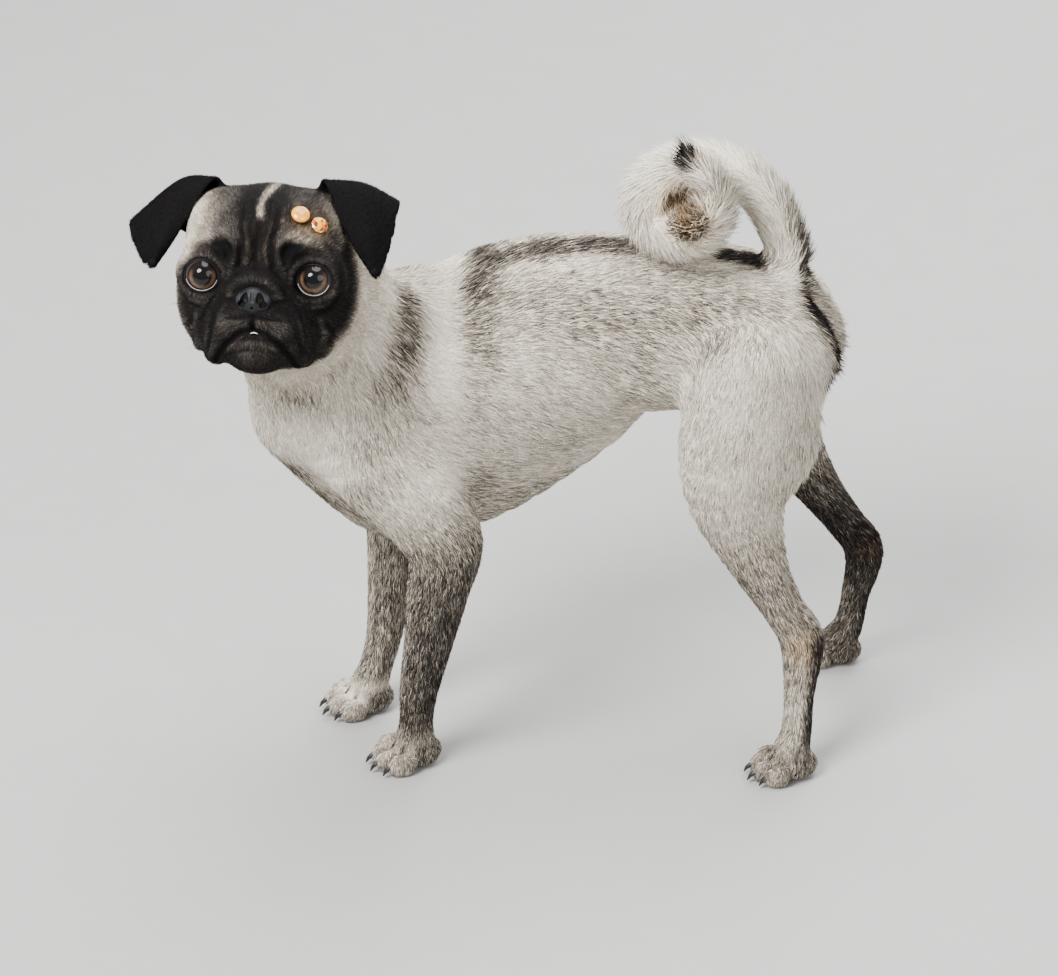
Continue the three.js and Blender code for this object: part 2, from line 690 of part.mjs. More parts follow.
// Ears: rows of the middle of the flap, from the root to the tip, each from its inner to its outer edge.
const EARS = {
  ear_left: [
    [[-6, 22, 40], [-14, 33, 31], [-12, 40, 18]],
    [[-5, 27, 49], [-14, 46, 41], [-13, 54, 26]],
    [[-1, 30, 53], [-7, 50, 51], [-8, 68, 42]],
    [[5, 34, 49], [2, 52, 47], [1, 69, 38]],
    [[9, 42, 33], [8, 55, 31], [4, 67, 25]],
    [[11, 49, 20], [11, 57, 17], [8, 64, 13]],
    [[11, 58, 7], [11, 60, 5], [10, 62, 7]],
  ],
  ear_right: [
    [[-6, -22, 40], [-14, -33, 31], [-12, -40, 18]],
    [[-5, -26, 48], [-14, -45, 42], [-15, -55, 24]],
    [[-1, -30, 52], [-6, -49, 49], [-8, -74, 27]],
    [[4, -35, 47], [3, -52, 41], [0, -74, 21]],
    [[7, -43, 33], [8, -56, 26], [5, -70, 14]],
    [[9, -51, 19], [11, -58, 14], [9, -66, 8]],
    [[10, -58, 8], [11, -61, 5], [10, -63, 7]],
  ],
};
const EAR_STEPS = { along: 12, across: 6 };
function ear(rows, grow = 0) {
  const through = (points) => new THREE.CatmullRomCurve3(points, false, "catmullrom", 0.5);
  const columns = [0, 1, 2].map((c) => through(rows.map((row) => vec(row[c]))));
  const spot = (u, v) => through(columns.map((c) => c.getPoint(u))).getPoint(v);
  const clamp = (t) => Math.min(1, Math.max(0, t));
  const outward = (t) => (t === 1) - (t === 0);
  const rings = [];
  for (let i = 0; i <= EAR_STEPS.along; i++) {
    const u = i / EAR_STEPS.along;
    const front = [];
    const back = [];
    for (let j = 0; j <= EAR_STEPS.across; j++) {
      const v = j / EAR_STEPS.across;
      const du = spot(clamp(u + 0.02), v).sub(spot(clamp(u - 0.02), v)).normalize();
      const dv = spot(u, clamp(v + 0.05)).sub(spot(u, clamp(v - 0.05))).normalize();
      const n = new THREE.Vector3().crossVectors(du, dv).normalize();
      const rim = Math.min(1, 0.4 + 4 * Math.min(v, 1 - v));
      const half = (EAR_THICKNESS / 2) * rim * mix(1.15, 0.8, u) + grow;
      const at = spot(u, v).addScaledVector(du, grow * outward(u)).addScaledVector(dv, grow * outward(v));
      front.push(at.clone().addScaledVector(n, half).toArray());
      back.push(at.clone().addScaledVector(n, -half).toArray());
    }
    rings.push([...front, ...back.reverse()].map(inHead));
  }
  return solid(loft(rings));
}

// Two clear orange beads on the forehead, over the left eye: one smooth and round, one faceted.
// Each lies flat on the coat, a third of its depth sunk in.
const BEADS = {
  bead_round: { across: 21, up: 37.5, radius: 5.2, detail: 3 },
  bead_faceted: { across: 31, up: 32.5, radius: 4.7, detail: 1 },
};
const BEAD_FLATNESS = 0.55;
function beadPlace({ across, up, radius }) {
  const foot = vec(inFront(headField, across, up));
  const steps = [[1, 0, 0], [0, 1, 0], [0, 0, 1]];
  const slope = vec(steps.map((e) => headField(...inHead(foot.clone().add(vec(e)).toArray())))).normalize();
  const turn = new THREE.Quaternion().setFromUnitVectors(new THREE.Vector3(0, 0, 1), slope);
  const middle = foot.addScaledVector(slope, radius * BEAD_FLATNESS * 0.35);
  const inPlace = new THREE.Matrix4().compose(middle, turn, new THREE.Vector3(1, 1, BEAD_FLATNESS));
  return headAxes.clone().multiply(inPlace);
}

const nodes = new Map();
const paint = {
  coat: new THREE.MeshStandardMaterial({ color: 0xb3a58f, roughness: 0.9, metalness: 0 }),
  dark: new THREE.MeshStandardMaterial({ color: 0x5d5148, roughness: 0.9, metalness: 0 }),
  pale: new THREE.MeshStandardMaterial({ color: 0xd9cfba, roughness: 0.9, metalness: 0 }),
  mask: new THREE.MeshStandardMaterial({ color: 0x2a2624, roughness: 0.85, metalness: 0 }),
  ear: new THREE.MeshStandardMaterial({ color: 0x151414, roughness: 0.8, metalness: 0 }),
  eye: new THREE.MeshStandardMaterial({ color: 0x3a2112, roughness: 0.1, metalness: 0 }),
  nose: new THREE.MeshStandardMaterial({ color: 0x1c1d20, roughness: 0.45, metalness: 0 }),
  bead: new THREE.MeshStandardMaterial({ color: 0xf08a2c, roughness: 0.15, metalness: 0 }),
};
const add = (name, body, material) => nodes.set(name, { body, material });

// Body, meshed coarsely and cut into legs and lengths of trunk.
const BODY = { low: [-120, -200, -6], high: [96, 236, 392], cell: 4, faces: 4300 };
let rest = meshed(bodyField, BODY.low, BODY.high, BODY.cell, BODY.faces);
const HEAD_SEAM = [inHead([-22, 0, 0]), vec([0.9, 0, 0.43]).transformDirection(headAxes).toArray()];
rest = part(rest, [HEAD_SEAM])[1];

// Everything near the tail's first length and above its root is the tail's.
const tailBlock = [tailSeam(TAIL_SEAMS[0]), [[0, 124, 0], [0, 1, 0]]];
rest = part(rest, tailBlock)[1];

const FLOOR = [[0, 0, 0], [0, 0, 1]];
const PAW_FACES = 330;
for (const leg of legs) {
  const [whole, other] = part(rest, leg.root);
  rest = other;
  const names = leg.seams.length === 3 ? ["thigh", "shank", "pastern"] : ["upper", "lower"];
  const seams = leg.seams.map((s) => {
    const t = s / (leg.stations.length - 1);
    return [leg.form.line.getPoint(t).toArray(), leg.form.line.getTangent(t).negate().toArray()];
  });
  let below = whole;
  names.forEach((name, i) => {
    const [above, under] = part(below, [seams[i]]);
    below = under;
    add(`${leg.name}_${name}`, above, i ? paint.dark : paint.coat);
  });
  const { at } = leg.paw;
  const top = leg.stations.at(-2)[0][2] + 24;
  const forms = field([leg.form, ...pawForms(leg.paw)]);
  const foot = meshed(forms, [at[0] - 28, at[1] - 36, -4], [at[0] + 28, at[1] + 34, top], 1.8, PAW_FACES);
  const last = seams.at(-1);
  const [paw] = part(foot, [[last[0], last[1].map((v) => -v)]]);
  const clawed = claws(leg.paw).reduce((a, b) => a.add(b), paw);
  add(`${leg.name}_paw`, clawed.intersect(beyond(...FLOOR)), paint.dark);
}

// Trunk: neck, chest, loin and rump.
const NECK_SEAM = [[12, -100, 272], [0.5, -0.45, 0.74]];
const LOIN_SEAMS = [[[-28, 16, 250], [0.05, 1, 0]], [[-30, 90, 250], [-0.08, 1, 0]]];
const [neckPart, behindNeck] = part(rest, [NECK_SEAM]);
const [behindChest, chest] = part(behindNeck, [LOIN_SEAMS[0]]);
const [rump, loin] = part(behindChest, [LOIN_SEAMS[1]]);
add("neck", neckPart, paint.coat);
add("chest", chest, paint.coat);
add("loin", loin, paint.coat);
add("rump", rump, paint.coat);

// Tail, in lengths.
TAIL_SEAMS.slice(1).forEach((end, i) => {
  const start = TAIL_SEAMS[i];
  const from = Math.max(0, Math.floor(start - 1.4) * TAIL_STEPS);
  const to = Math.ceil(end + 1.4) * TAIL_STEPS;
  const form = tail.between(from, to);
  const points = TAIL.slice(Math.floor(from / TAIL_STEPS), to / TAIL_STEPS + 1).map(([p]) => p);
  const low = [0, 1, 2].map((n) => Math.min(...points.map((p) => p[n])) - 18);
  const high = [0, 1, 2].map((n) => Math.max(...points.map((p) => p[n])) + 18);
  let length = meshed(field([form]), low, high, 2.2, 330);
  length = part(length, [tailSeam(start)])[0];
  if (end < TAIL.length - 1) length = part(length, [tailSeam(end)])[1];
  add(`tail_${i + 1}`, length, paint.pale);
});

// Head: eyes, ears, nose and beads sit in recesses a gap larger than themselves.
const HEAD_MESH = { half: [66, 62, 70], cell: 1.8, faces: 2700 };
const FACE_FINENESS = { ahead: 12, weight: 6 }; // the face keeps more faces than the rest of the head
const toHead = headAxes.clone().invert();
const isFace = (x, y, z) => vec([x, y, z]).applyMatrix4(toHead).x > FACE_FINENESS.ahead;
const fineness = (...p) => (isFace(...p) ? FACE_FINENESS.weight : 1);
const corner = (s) => HEAD.at.map((v, i) => v + s * HEAD_MESH.half[i]);
let head = meshed(headField, corner(-1), corner(1), HEAD_MESH.cell, HEAD_MESH.faces, fineness);
head = part(head, [HEAD_SEAM])[0];
for (const [name, rows] of Object.entries(EARS)) {
  add(name, ear(rows), paint.ear);
  head = head.subtract(ear(rows, GAP));
}

// An eye, and the lids' round opening in front of it, wider at its rim.
const LIDS = { inner: 8.8, outer: 11, from: 30, to: 42, height: 0.94 };
for (const [name, side] of [["eye_left", 1], ["eye_right", -1]]) {
  const place = new THREE.Matrix4().makeTranslation(...inHead([EYE[0], EYE[1] * side, EYE[2]]));
  add(name, solidOf(new THREE.IcosahedronGeometry(EYE_RADIUS, 3), place), paint.eye);
  head = head.subtract(solidOf(new THREE.IcosahedronGeometry(EYE_RADIUS + GAP, 3), place));
  const opening = new THREE.CylinderGeometry(LIDS.outer, LIDS.inner, LIDS.to - LIDS.from, 32);
  opening.applyMatrix4(new THREE.Matrix4().makeRotationZ(rad(-90)));
  opening.scale(1, 1, LIDS.height);
  opening.translate((LIDS.from + LIDS.to) / 2, EYE[1] * side, EYE[2]);
  head = head.subtract(solidOf(opening, headAxes));
}
head = head.subtract(groove(headField, MOUTH, 1.9, 0.3, 22));
head = head.subtract(groove(headField, LIP_SPLIT, 0.9, 0.8, 4));

const noseBox = new THREE.Box3().setFromCenterAndSize(vec(inHead(NOSE.at)), new THREE.Vector3(30, 30, 30));
const noseMesh = (grow, count) =>
  meshed((x, y, z) => noseField(x, y, z) - grow, noseBox.min.toArray(), noseBox.max.toArray(), 1.2, count);
const nostril = (side) => groove(noseField, NOSTRIL.map(([left, up]) => [left * side, up]), 1.5, 0.5, 7);
const nostrils = [nostril(1), nostril(-1)];
add("nose", nostrils.reduce((a, b) => a.subtract(b), noseMesh(0, 280)), paint.nose);
head = head.subtract(noseMesh(GAP, 340));
for (const [name, bead] of Object.entries(BEADS)) {
  const place = beadPlace(bead);
  const form = (grow) => solidOf(new THREE.IcosahedronGeometry(bead.radius + grow, bead.detail), place);
  add(name, form(0), paint.bead);
  head = head.subtract(form(GAP / BEAD_FLATNESS));
}
add("head", head, paint.mask);

const dog = new THREE.Group();
for (const [name, { body, material }] of nodes) {
  const mesh = new THREE.Mesh(geometryOf(body), material);
  mesh.name = name;
  dog.add(mesh);
}

// The origin is on the floor, under the middle of the dog's box.
const box = new THREE.Box3().setFromObject(dog);
const middle = box.getCenter(new THREE.Vector3());
dog.position.set(-middle.x, -middle.y, 0);
export default new THREE.Group().add(dog);
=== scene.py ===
"""A pug standing still, life size, its head turned to its left and its tail curled over its croup.

Forms are given in millimetres, in the dog's own space: +Z up, looking along -Y, its left side towards +X.
The skin is the zero surface of a smooth union of limbs and balls. The coat is short mesh hair rooted in it.
"""

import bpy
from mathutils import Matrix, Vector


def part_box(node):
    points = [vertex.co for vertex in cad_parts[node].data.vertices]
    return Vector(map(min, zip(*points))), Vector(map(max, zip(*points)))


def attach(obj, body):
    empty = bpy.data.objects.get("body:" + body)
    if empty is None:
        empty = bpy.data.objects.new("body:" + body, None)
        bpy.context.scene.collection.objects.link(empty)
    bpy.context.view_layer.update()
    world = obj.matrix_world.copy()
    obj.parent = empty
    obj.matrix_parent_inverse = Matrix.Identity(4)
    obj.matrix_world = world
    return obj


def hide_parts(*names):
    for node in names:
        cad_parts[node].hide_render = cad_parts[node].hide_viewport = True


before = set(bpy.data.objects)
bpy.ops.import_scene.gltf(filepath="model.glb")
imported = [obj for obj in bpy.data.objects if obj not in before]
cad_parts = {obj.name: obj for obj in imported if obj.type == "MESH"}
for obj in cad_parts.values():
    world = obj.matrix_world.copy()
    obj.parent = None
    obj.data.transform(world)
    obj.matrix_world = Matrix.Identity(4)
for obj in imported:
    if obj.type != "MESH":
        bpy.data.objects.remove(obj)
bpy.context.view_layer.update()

import copy
import math

import bpy
import numpy as np
from mathutils import Vector
from mathutils.bvhtree import BVHTree

rng = np.random.default_rng(7)

# Head and eyes, in the head's forward, left and up.
HEAD = {"at": (70, -141, 342), "yaw": -5.7, "pitch": 18}
HEAD_MIDDLE = np.array([4, 0, 2])
EYE = (24.5, 30, 4.5)
EYE_RADIUS = 12.4
IRIS_RADIUS = 7.5
PUPIL_RADIUS = 4.7
LID_RADIUS = 9.3
LID_FLATNESS = 0.93
GAZE = {"left": (0.996, -0.004, 0.086), "right": (0.999, 0.045, 0.002)}

# Camera: its picture's width and focal length in pixels, where it looks, how far off and how high up it is.
PICTURE_WIDTH = 1058
FOCAL_LENGTH = 3900
CAMERA = {"target": (0, 0, 170), "distance": 2250, "elevation": 30}

MM = 0.001


def length(v):
    return np.sqrt(np.einsum("...i,...i", v, v))


def unit(v):
    v = np.asarray(v, float)
    return v / np.maximum(length(v), 1e-9)[..., None]


def turned(degrees):
    """A turn to the left about the upright axis."""
    angle = math.radians(degrees)
    c, s = math.cos(angle), math.sin(angle)
    return np.array([[c, -s, 0], [s, c, 0], [0, 0, 1]])


def head_matrix():
    """The head's forward, left and up axes, as columns."""
    pitch = math.radians(HEAD["pitch"])
    c, s = math.cos(pitch), math.sin(pitch)
    return turned(HEAD["yaw"]) @ np.array([[c, 0, -s], [0, 1, 0], [s, 0, c]])


HEAD_AXES = head_matrix()


def in_head(p):
    """From the head's forward, left and up to the dog's space."""
    return np.asarray(p, float) @ HEAD_AXES.T + np.array(HEAD["at"])


def to_head(p):
    return (p - np.array(HEAD["at"])) @ HEAD_AXES


def frame_shift():
    """What takes the dog's space to the frame, found from where the left eye stands."""
    low, high = (np.array(c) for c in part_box("eye_left"))
    return (low + high) / 2 - in_head(EYE) * MM


SHIFT = frame_shift()


def to_frame(p):
    return np.asarray(p) * MM + SHIFT


def smooth(low, high, x):
    t = np.clip((x - low) / (high - low), 0, 1)
    return t * t * (3 - 2 * t)


def mix(a, b, t):
    return a + (b - a) * t


# Forms.
def join(a, b, k):
    h = np.maximum(k - np.abs(a - b), 0) / k
    return np.minimum(a, b) - h * h * k / 4


def ellipsoid(q, radii):
    q = q / radii
    near = length(q)
    return near * (near - 1) / np.maximum(length(q / radii), 1e-9)


class Ball:
    """A ball with a radius along each of three axes, blended over k into what it joins."""

    cut = False

    def __init__(self, middle, radii, k, axes=np.eye(3)):
        self.middle, self.radii, self.k, self.axes = np.array(middle, float), np.array(radii, float), k, axes
        self.reach = self.radii.max()

    def distance(self, p):
        return ellipsoid((p - self.middle) @ self.axes, self.radii)


def spline(points, t):
    """Places and slopes of a smooth curve through points, at t from 0 to their count less one."""
    p = np.asarray(points, float)
    p = np.vstack([2 * p[0] - p[1], p, 2 * p[-1] - p[-2]])
    i = np.clip(np.floor(t).astype(int), 0, len(p) - 4)
    s = (t - i)[:, None]
    a, b, c, d = p[i], p[i + 1], p[i + 2], p[i + 3]
    m, n = (c - a) / 2, (d - b) / 2
    place = (
        (2 * s**3 - 3 * s**2 + 1) * b + (s**3 - 2 * s**2 + s) * m
        + (3 * s**2 - 2 * s**3) * c + (s**3 - s**2) * n
    )
    slope = (6 * s**2 - 6 * s) * (b - c) + (3 * s**2 - 4 * s + 1) * m + (3 * s**2 - 2 * s) * n
    return place, slope


def half_sizes(width, front=None, back=None):
    """The half width and half depths at a station of a limb. The depths are as the width where not given."""
    front = front or width
    return width, front, back or front


class Limb:
    """A smooth tube of ellipses through stations: each has its middle, half width and half depths."""

    def __init__(self, stations, across=(1, 0, 0), k=12, steps=4, cut=False):
        self.k, self.cut, self.steps = k, cut, steps
        t = np.linspace(0, len(stations) - 1, (len(stations) - 1) * steps + 1)
        self.at, slope = spline([at for at, *_ in stations], t)
        self.size = spline([half_sizes(*size) for _, *size in stations], t)[0]
        self.along = unit(slope)
        wide = np.array(across, float)
        self.wide = unit(wide - self.along * (self.along @ wide)[:, None])
        self.deep = np.cross(self.wide, self.along)
        self.bound(0, len(t))

    def bound(self, first, last):
        self.first, self.last = first, last
        at, size = self.at[first:last], self.size[first:last]
        self.middle = (at.min(0) + at.max(0)) / 2
        self.reach = (length(at - self.middle) + size.max(1)).max()

    def between(self, start, end, k):
        """The stretch of the limb from one station to another."""
        part = copy.copy(self)
        part.k = k
        part.bound(start * self.steps, end * self.steps + 1)
        return part

    def nearest(self, p):
        """The distance to the limb, and the station that it is measured from."""
        best = np.full(len(p), 1e6)
        station = np.zeros(len(p))
        for i in range(self.first, self.last - 1):
            a, b = self.at[i], self.at[i + 1]
            reach = length(b - a) / 2 + max(self.size[i].max(), self.size[i + 1].max())
            near = np.flatnonzero(length(p - (a + b) / 2) - reach < best)
            if not len(near):
                continue
            run = b - a
            offset = p[near] - a
            t = np.clip(offset @ run / (run @ run), 0, 1)
            offset = offset - t[:, None] * run
            axes = (self.wide, self.deep, self.along)
            q = np.stack([mix(offset @ axis[i], offset @ axis[i + 1], t) for axis in axes], 1)
            width, front, back = mix(self.size[i], self.size[i + 1], t[:, None]).T
            depth = np.where(q[:, 1] > 0, front, back)
            d = ellipsoid(q, np.stack([width, depth, np.minimum(width, depth)], 1))
            better = d < best[near]
            best[near[better]] = d[better]
            station[near[better]] = (i + t[better]) / self.steps
        return best, station

    def distance(self, p):
        return self.nearest(p)[0]

    def nearest_index(self, station):
        return np.clip(np.round(station * self.steps).astype(int), 0, len(self.at) - 1)

    def heading(self, station):
        return self.along[self.nearest_index(station)]

    def ahead(self, p, station):
        """How far ahead of the limb's middle a place is, from -1 at its back to 1 at its front."""
        i = self.nearest_index(station)
        return np.clip((self.at[i, 1] - p[:, 1]) / self.size[i, 1], -1, 1)


def field(forms):
    """The signed distance to a list of forms, each joined to those before it, or carved out of them."""
    def distance(p):
        d = np.full(len(p), 1e3)
        for form in forms:
            far = length(p - form.middle) - form.reach
            near = np.flatnonzero(far < (form.k + 3 if form.cut else d + form.k))
            if len(near):
                value = form.distance(p[near])
                d[near] = -join(-d[near], value, form.k) if form.cut else join(d[near], value, form.k)
        return d
    return distance


def gradient(distance, p, step=0.25):
    d = distance(p)
    slopes = [distance(p + step * e) - d for e in np.eye(3)]
    return d, np.stack(slopes, 1) / step


# Surfaces.
def grid_lines(*stops):
    """Grid lines through stops, each a place and the spacing from it to the next stop."""
    pieces = [np.arange(a, b, step) for (a, step), (b, _) in zip(stops, stops[1:])]
    return np.concatenate([*pieces, [stops[-1][0]]])


def sampled(distance, lines, block=4):
    """A distance at all points of a grid, worked out finely only near the surface."""
    edges = [np.append(x[::block], x[-1]) for x in lines]
    middles = [(e[1:] + e[:-1]) / 2 for e in edges]
    halves = [(e[1:] - e[:-1]) / 2 for e in edges]
    coarse = distance(np.stack(np.meshgrid(*middles, indexing="ij"), -1).reshape(-1, 3))
    coarse = coarse.reshape([len(m) for m in middles])
    reach = np.sqrt(sum(h**2 for h in np.meshgrid(*halves, indexing="ij")))
    spread = np.ix_(*[np.minimum(np.arange(len(x)) // block, len(m) - 1) for x, m in zip(lines, middles)])
    value = coarse[spread].astype(np.float32)
    where = np.nonzero((np.abs(coarse) < reach * 1.8 + 1)[spread])
    value[where] = distance(np.stack([x[i] for x, i in zip(lines, where)], -1))
    return value


def shell(distance, lines):
    """The zero surface of a distance as points and quads: one point in each grid cell that it crosses."""
    value = sampled(distance, lines)
    cells = np.array(value.shape) - 1
    number = lambda c: (c[:, 0] * cells[1] + c[:, 1]) * cells[2] + c[:, 2]
    ids, places, quads = [], [], []
    for axis in range(3):
        step, u, v = np.roll(np.eye(3, dtype=int), -axis, axis=0)
        along = np.moveaxis(value, axis, 0)
        found = np.argwhere(np.moveaxis((along[:-1] < 0) != (along[1:] < 0), 0, axis))
        found = found[((found > 0) | (step > 0)).all(1) & (found < cells).all(1)]
        a, b = value[tuple(found.T)], value[tuple((found + step).T)]
        place = np.stack([x[i] for x, i in zip(lines, found.T)], -1)
        gap = lines[axis][found[:, axis] + 1] - lines[axis][found[:, axis]]
        place[:, axis] += a / (a - b) * gap
        around = np.stack([number(found - m * u - n * v) for m, n in ((0, 0), (1, 0), (1, 1), (0, 1))], 1)
        ids.append(around.ravel())
        places.append(np.repeat(place, 4, axis=0))
        quads.append(np.where((a < 0)[:, None], around, around[:, ::-1]))
    used, order = np.unique(np.concatenate(ids), return_inverse=True)
    places = np.concatenate(places)
    count = np.bincount(order)
    points = np.stack([np.bincount(order, weights=places[:, i]) / count for i in range(3)], 1)
    return points, np.searchsorted(used, np.concatenate(quads))


def settled(points, distance):
    """Points moved onto the zero surface, with the surface's normals."""
    d, slope = gradient(distance, points)
    move = slope * (d / np.maximum((slope**2).sum(1), 0.25))[:, None]
    points = points - np.clip(move, -1.5, 1.5)
    return points, unit(gradient(distance, points)[1])


def noise(p, size, seed=0):
    """Smooth noise from -1 to 1 that changes over a given size."""
    q = np.asarray(p) / size + 100.5 + seed * 17.3
    cell = np.floor(q).astype(np.int64)
    t = q - cell
    t = t * t * (3 - 2 * t)
    total = np.zeros(len(q))
    for corner in np.ndindex(2, 2, 2):
        c = cell + corner
        h = (c[:, 0] * 73856093 ^ c[:, 1] * 19349663 ^ c[:, 2] * 83492791 ^ seed * 2654435761) & 0xFFFFFFF
        h = (h * 1103515245 + 12345) & 0x7FFFFFFF
        h = (h ^ (h >> 13)) * 1274126177 & 0x7FFFFFFF
        weight = np.prod(np.where(corner, t, 1 - t), axis=1)
        total += weight * (h / 0x3FFFFFFF - 1)
    return total


# Trunk, neck and legs.
TRUNK = Limb(
    [
        [(21, -129, 236), 28, 34, 36],
        [(7, -106, 238), 46, 58, 70],
        [(-5, -78, 240), 57, 60, 103],
        [(-14, -40, 241), 61, 62, 99],
        [(-27, 0, 244), 65, 68, 77],
        [(-32, 42, 247), 59, 67, 42],
        [(-31, 80, 250), 53, 62, 37],
        [(-27, 112, 251), 52, 58, 38],
        [(-23, 138, 251), 44, 48, 39],
        [(-21, 148, 250), 26, 29, 26],
    ],
    k=14,
)
NECK = Limb(
    [
        [(0, -80, 250), 45, 48],
        [(20, -104, 284), 43, 42],
        [(41, -125, 312), 41, 41],
        [(54, -133, 330), 37, 37],
    ],
    across=(0.6, 0.8, 0),
    k=16,
)
THROAT = Limb(
    [[(56, -136, 306), 26], [(42, -129, 274), 30], [(26, -118, 240), 32]],
    across=(0.6, 0.8, 0),
    k=18,
)
NAPE = Ball((27, -120, 330), (36, 38, 38), k=16)

LEGS = {
    "foreleg_left": Limb(
        [
            [(16, -62, 284), 14, 26],
            [(40, -92, 226), 22, 28],
            [(46, -62, 186), 21, 27],
            [(45, -48, 158), 18, 24],
            [(42, -52, 126), 15, 20],
            [(39, -58, 90), 12.5, 15.5],
            [(36, -64, 56), 11.5, 12],
            [(33, -66, 34), 10.5, 10.5],
            [(31, -67, 18), 12, 12],
        ],
        across=(0.94, 0.34, 0),
    ),
    "foreleg_right": Limb(
        [
            [(-20, -52, 284), 14, 26],
            [(-36, -94, 222), 22, 28],
            [(-44, -84, 186), 21, 27],
            [(-40, -78, 158), 18, 23],
            [(-36, -79, 126), 15, 19],
            [(-32, -82, 90), 12.5, 15],
            [(-29, -86, 56), 11.5, 11.5],
            [(-28, -91, 34), 10.5, 10.5],
            [(-28, -96, 18), 12, 12],
        ],
        across=(0.94, 0.34, 0),
    ),
    "hindleg_left": Limb(
        [
            [(14, 130, 260), 27, 36],
            [(20, 119, 214), 25, 47, 36],
            [(25, 115, 178), 21, 36, 26],
            [(26, 129, 140), 16, 21, 18],
            [(27, 146, 108), 13, 13.5],
            [(28, 158, 84), 11.5, 14, 13],
            [(32, 158, 50), 9.5, 9.5],
            [(37, 157, 28), 10.5, 9.5],
            [(41, 154, 16), 11, 11],
        ],
        across=(0.99, 0.14, 0),
    ),
    "hindleg_right": Limb(
        [
            [(-60, 140, 260), 27, 36],
            [(-66, 138, 214), 25, 38, 36],
            [(-69, 147, 174), 20, 26, 24],
            [(-72, 170, 134), 15, 16],
            [(-74, 189, 106), 12.5, 12.5],
            [(-76, 202, 83), 11.5, 13, 12],
            [(-79, 199, 50), 9.5, 9],
            [(-81, 196, 28), 10.5, 9.5],
            [(-83, 191, 16), 11, 11],
        ],
        across=(0.99, -0.14, 0),
    ),
}
PAWS = {
    "foreleg_left": {"at": (30, -70), "turn": 18, "scale": 0.94},
    "foreleg_right": {"at": (-28, -100), "turn": 14, "scale": 0.94},
    "hindleg_left": {"at": (43, 152), "turn": 10, "scale": 0.9},
    "hindleg_right": {"at": (-84, 187), "turn": -6, "scale": 0.9},
}
TOES = [(side, 9 if abs(side) > 9 else 15) for side in (-13, -5, 5, 13)]


def on_paw(paw, p):
    return np.asarray(p, float) * paw["scale"] @ turned(paw["turn"]).T + np.array([*paw["at"], 0])


def on_toes(paw, p):
    """Places in a paw's own axes: to its left, backward and up."""
    return (p - np.array([*paw["at"], 0])) @ turned(paw["turn"]) / paw["scale"]


def paw_forms(paw):
    axes, scale = turned(paw["turn"]), paw["scale"]
    pad = Ball(on_paw(paw, (0, 3, 9)), np.array((14, 17, 10.5)) * scale, 5, axes)
    radii = np.array((5.1, 9.5, 8.4)) * scale
    return [pad, *(Ball(on_paw(paw, (side, -ahead, 7.5)), radii, 1.5, axes) for side, ahead in TOES)]


# Tail: a tight curl that climbs from the croup, runs forward, drops beside itself and ends in a point.
TAIL = Limb(
    [
        [(-21, 143, 278), 16],
        [(-22, 145, 298), 14.5],
        [(-22, 143, 318), 13.5],
        [(-24, 135, 339), 13],
        [(-26, 121, 354), 12.5],
        [(-28, 105, 361), 13],
        [(-28, 88, 360), 14],
        [(-27, 74, 352), 15.5],
        [(-23, 67, 341), 15],
        [(-15, 70, 332), 13],
        [(-6, 80, 330), 13],
        [(2, 91, 334), 13],
        [(5, 100, 345), 12.5],
        [(5, 102, 356), 11],
        [(5, 98, 366), 8],
        [(3, 92, 375), 4.5],
        [(1, 88, 382), 1.5],
    ],
    k=14,
    steps=3,
)

# The cleft between the buttocks, from under the tail down.
CLEFT = Limb(
    [[(-18, 158, 296), 4], [(-15, 171, 270), 6], [(-16, 174, 240), 6], [(-20, 168, 210), 5]],
    k=7,
    cut=True,
)


# Head.
def knob(at, radii, k):
    """A ball in the head's own axes."""
    return Ball(in_head(at), radii, k, HEAD_AXES)


def ridge(stations, k, cut=False):
    """A round limb in the head's own axes."""
    stations = [[in_head(at), *size] for at, *size in stations]
    return Limb(stations, across=(0.02, 0.03, 1), k=k, steps=3, cut=cut)


def both(make):
    """The forms on both sides, from a function of the side: 1 for the left, -1 for the right."""
    return [form for side in (1, -1) for form in make(side)]


SKULL = [
    knob((-9, 0, 6), (43, 46, 44), 14),
    knob((12, 0, 18), (24, 36, 27), 14),
    knob((4, 0, -33), (30, 30, 16), 16),
    *both(lambda s: [knob((-2, 22 * s, -13), (33, 27, 30), 14), knob((-4, 27 * s, 29), (26, 15, 17), 12)]),
]
SIDE_RIDGES = [
    # forward, left, up and radius: beside the brow's middle, over the eye, the cheek, and the upper lip
    ([(35, 6, 10, 2.5), (35, 8, 21, 3.2), (29.5, 7, 34, 2.5), (22, 6, 42, 1.5)], 5),
    ([(34, 15, 13, 3), (33, 21, 21.5, 3.5), (27, 31, 24, 3.5), (20, 40, 19, 2)], 7),
    ([(33, 21, -6, 3), (31, 26, -17, 4), (24, 31, -29, 4), (15, 34, -36, 2.5)], 6),
    ([(40, 4, -16, 9), (38, 12, -23, 10.5), (31, 20, -34, 9), (23, 24, -39, 6)], 5),
]
FACE = [
    knob((27, 0, -16), (21, 25, 20), 10),
    knob((36.5, 0, -5), (12, 14, 10.5), 6),
    *both(lambda s: [
        knob((22, 30 * s, 4.5), (15.5, 16.5, 16), 5),
        *(ridge([[(f, left * s, up), radius] for f, left, up, radius in path], k) for path, k in SIDE_RIDGES),
    ]),
    ridge(
        [[(33, -21, -9), 3], [(39, -12, 1), 4], [(41.5, 0, 5.5), 4.5], [(39, 12, 1), 4], [(33, 21, -9), 3]],
        4,
    ),
    knob((28, 0, -36.5), (17, 18, 11.5), 3),
]
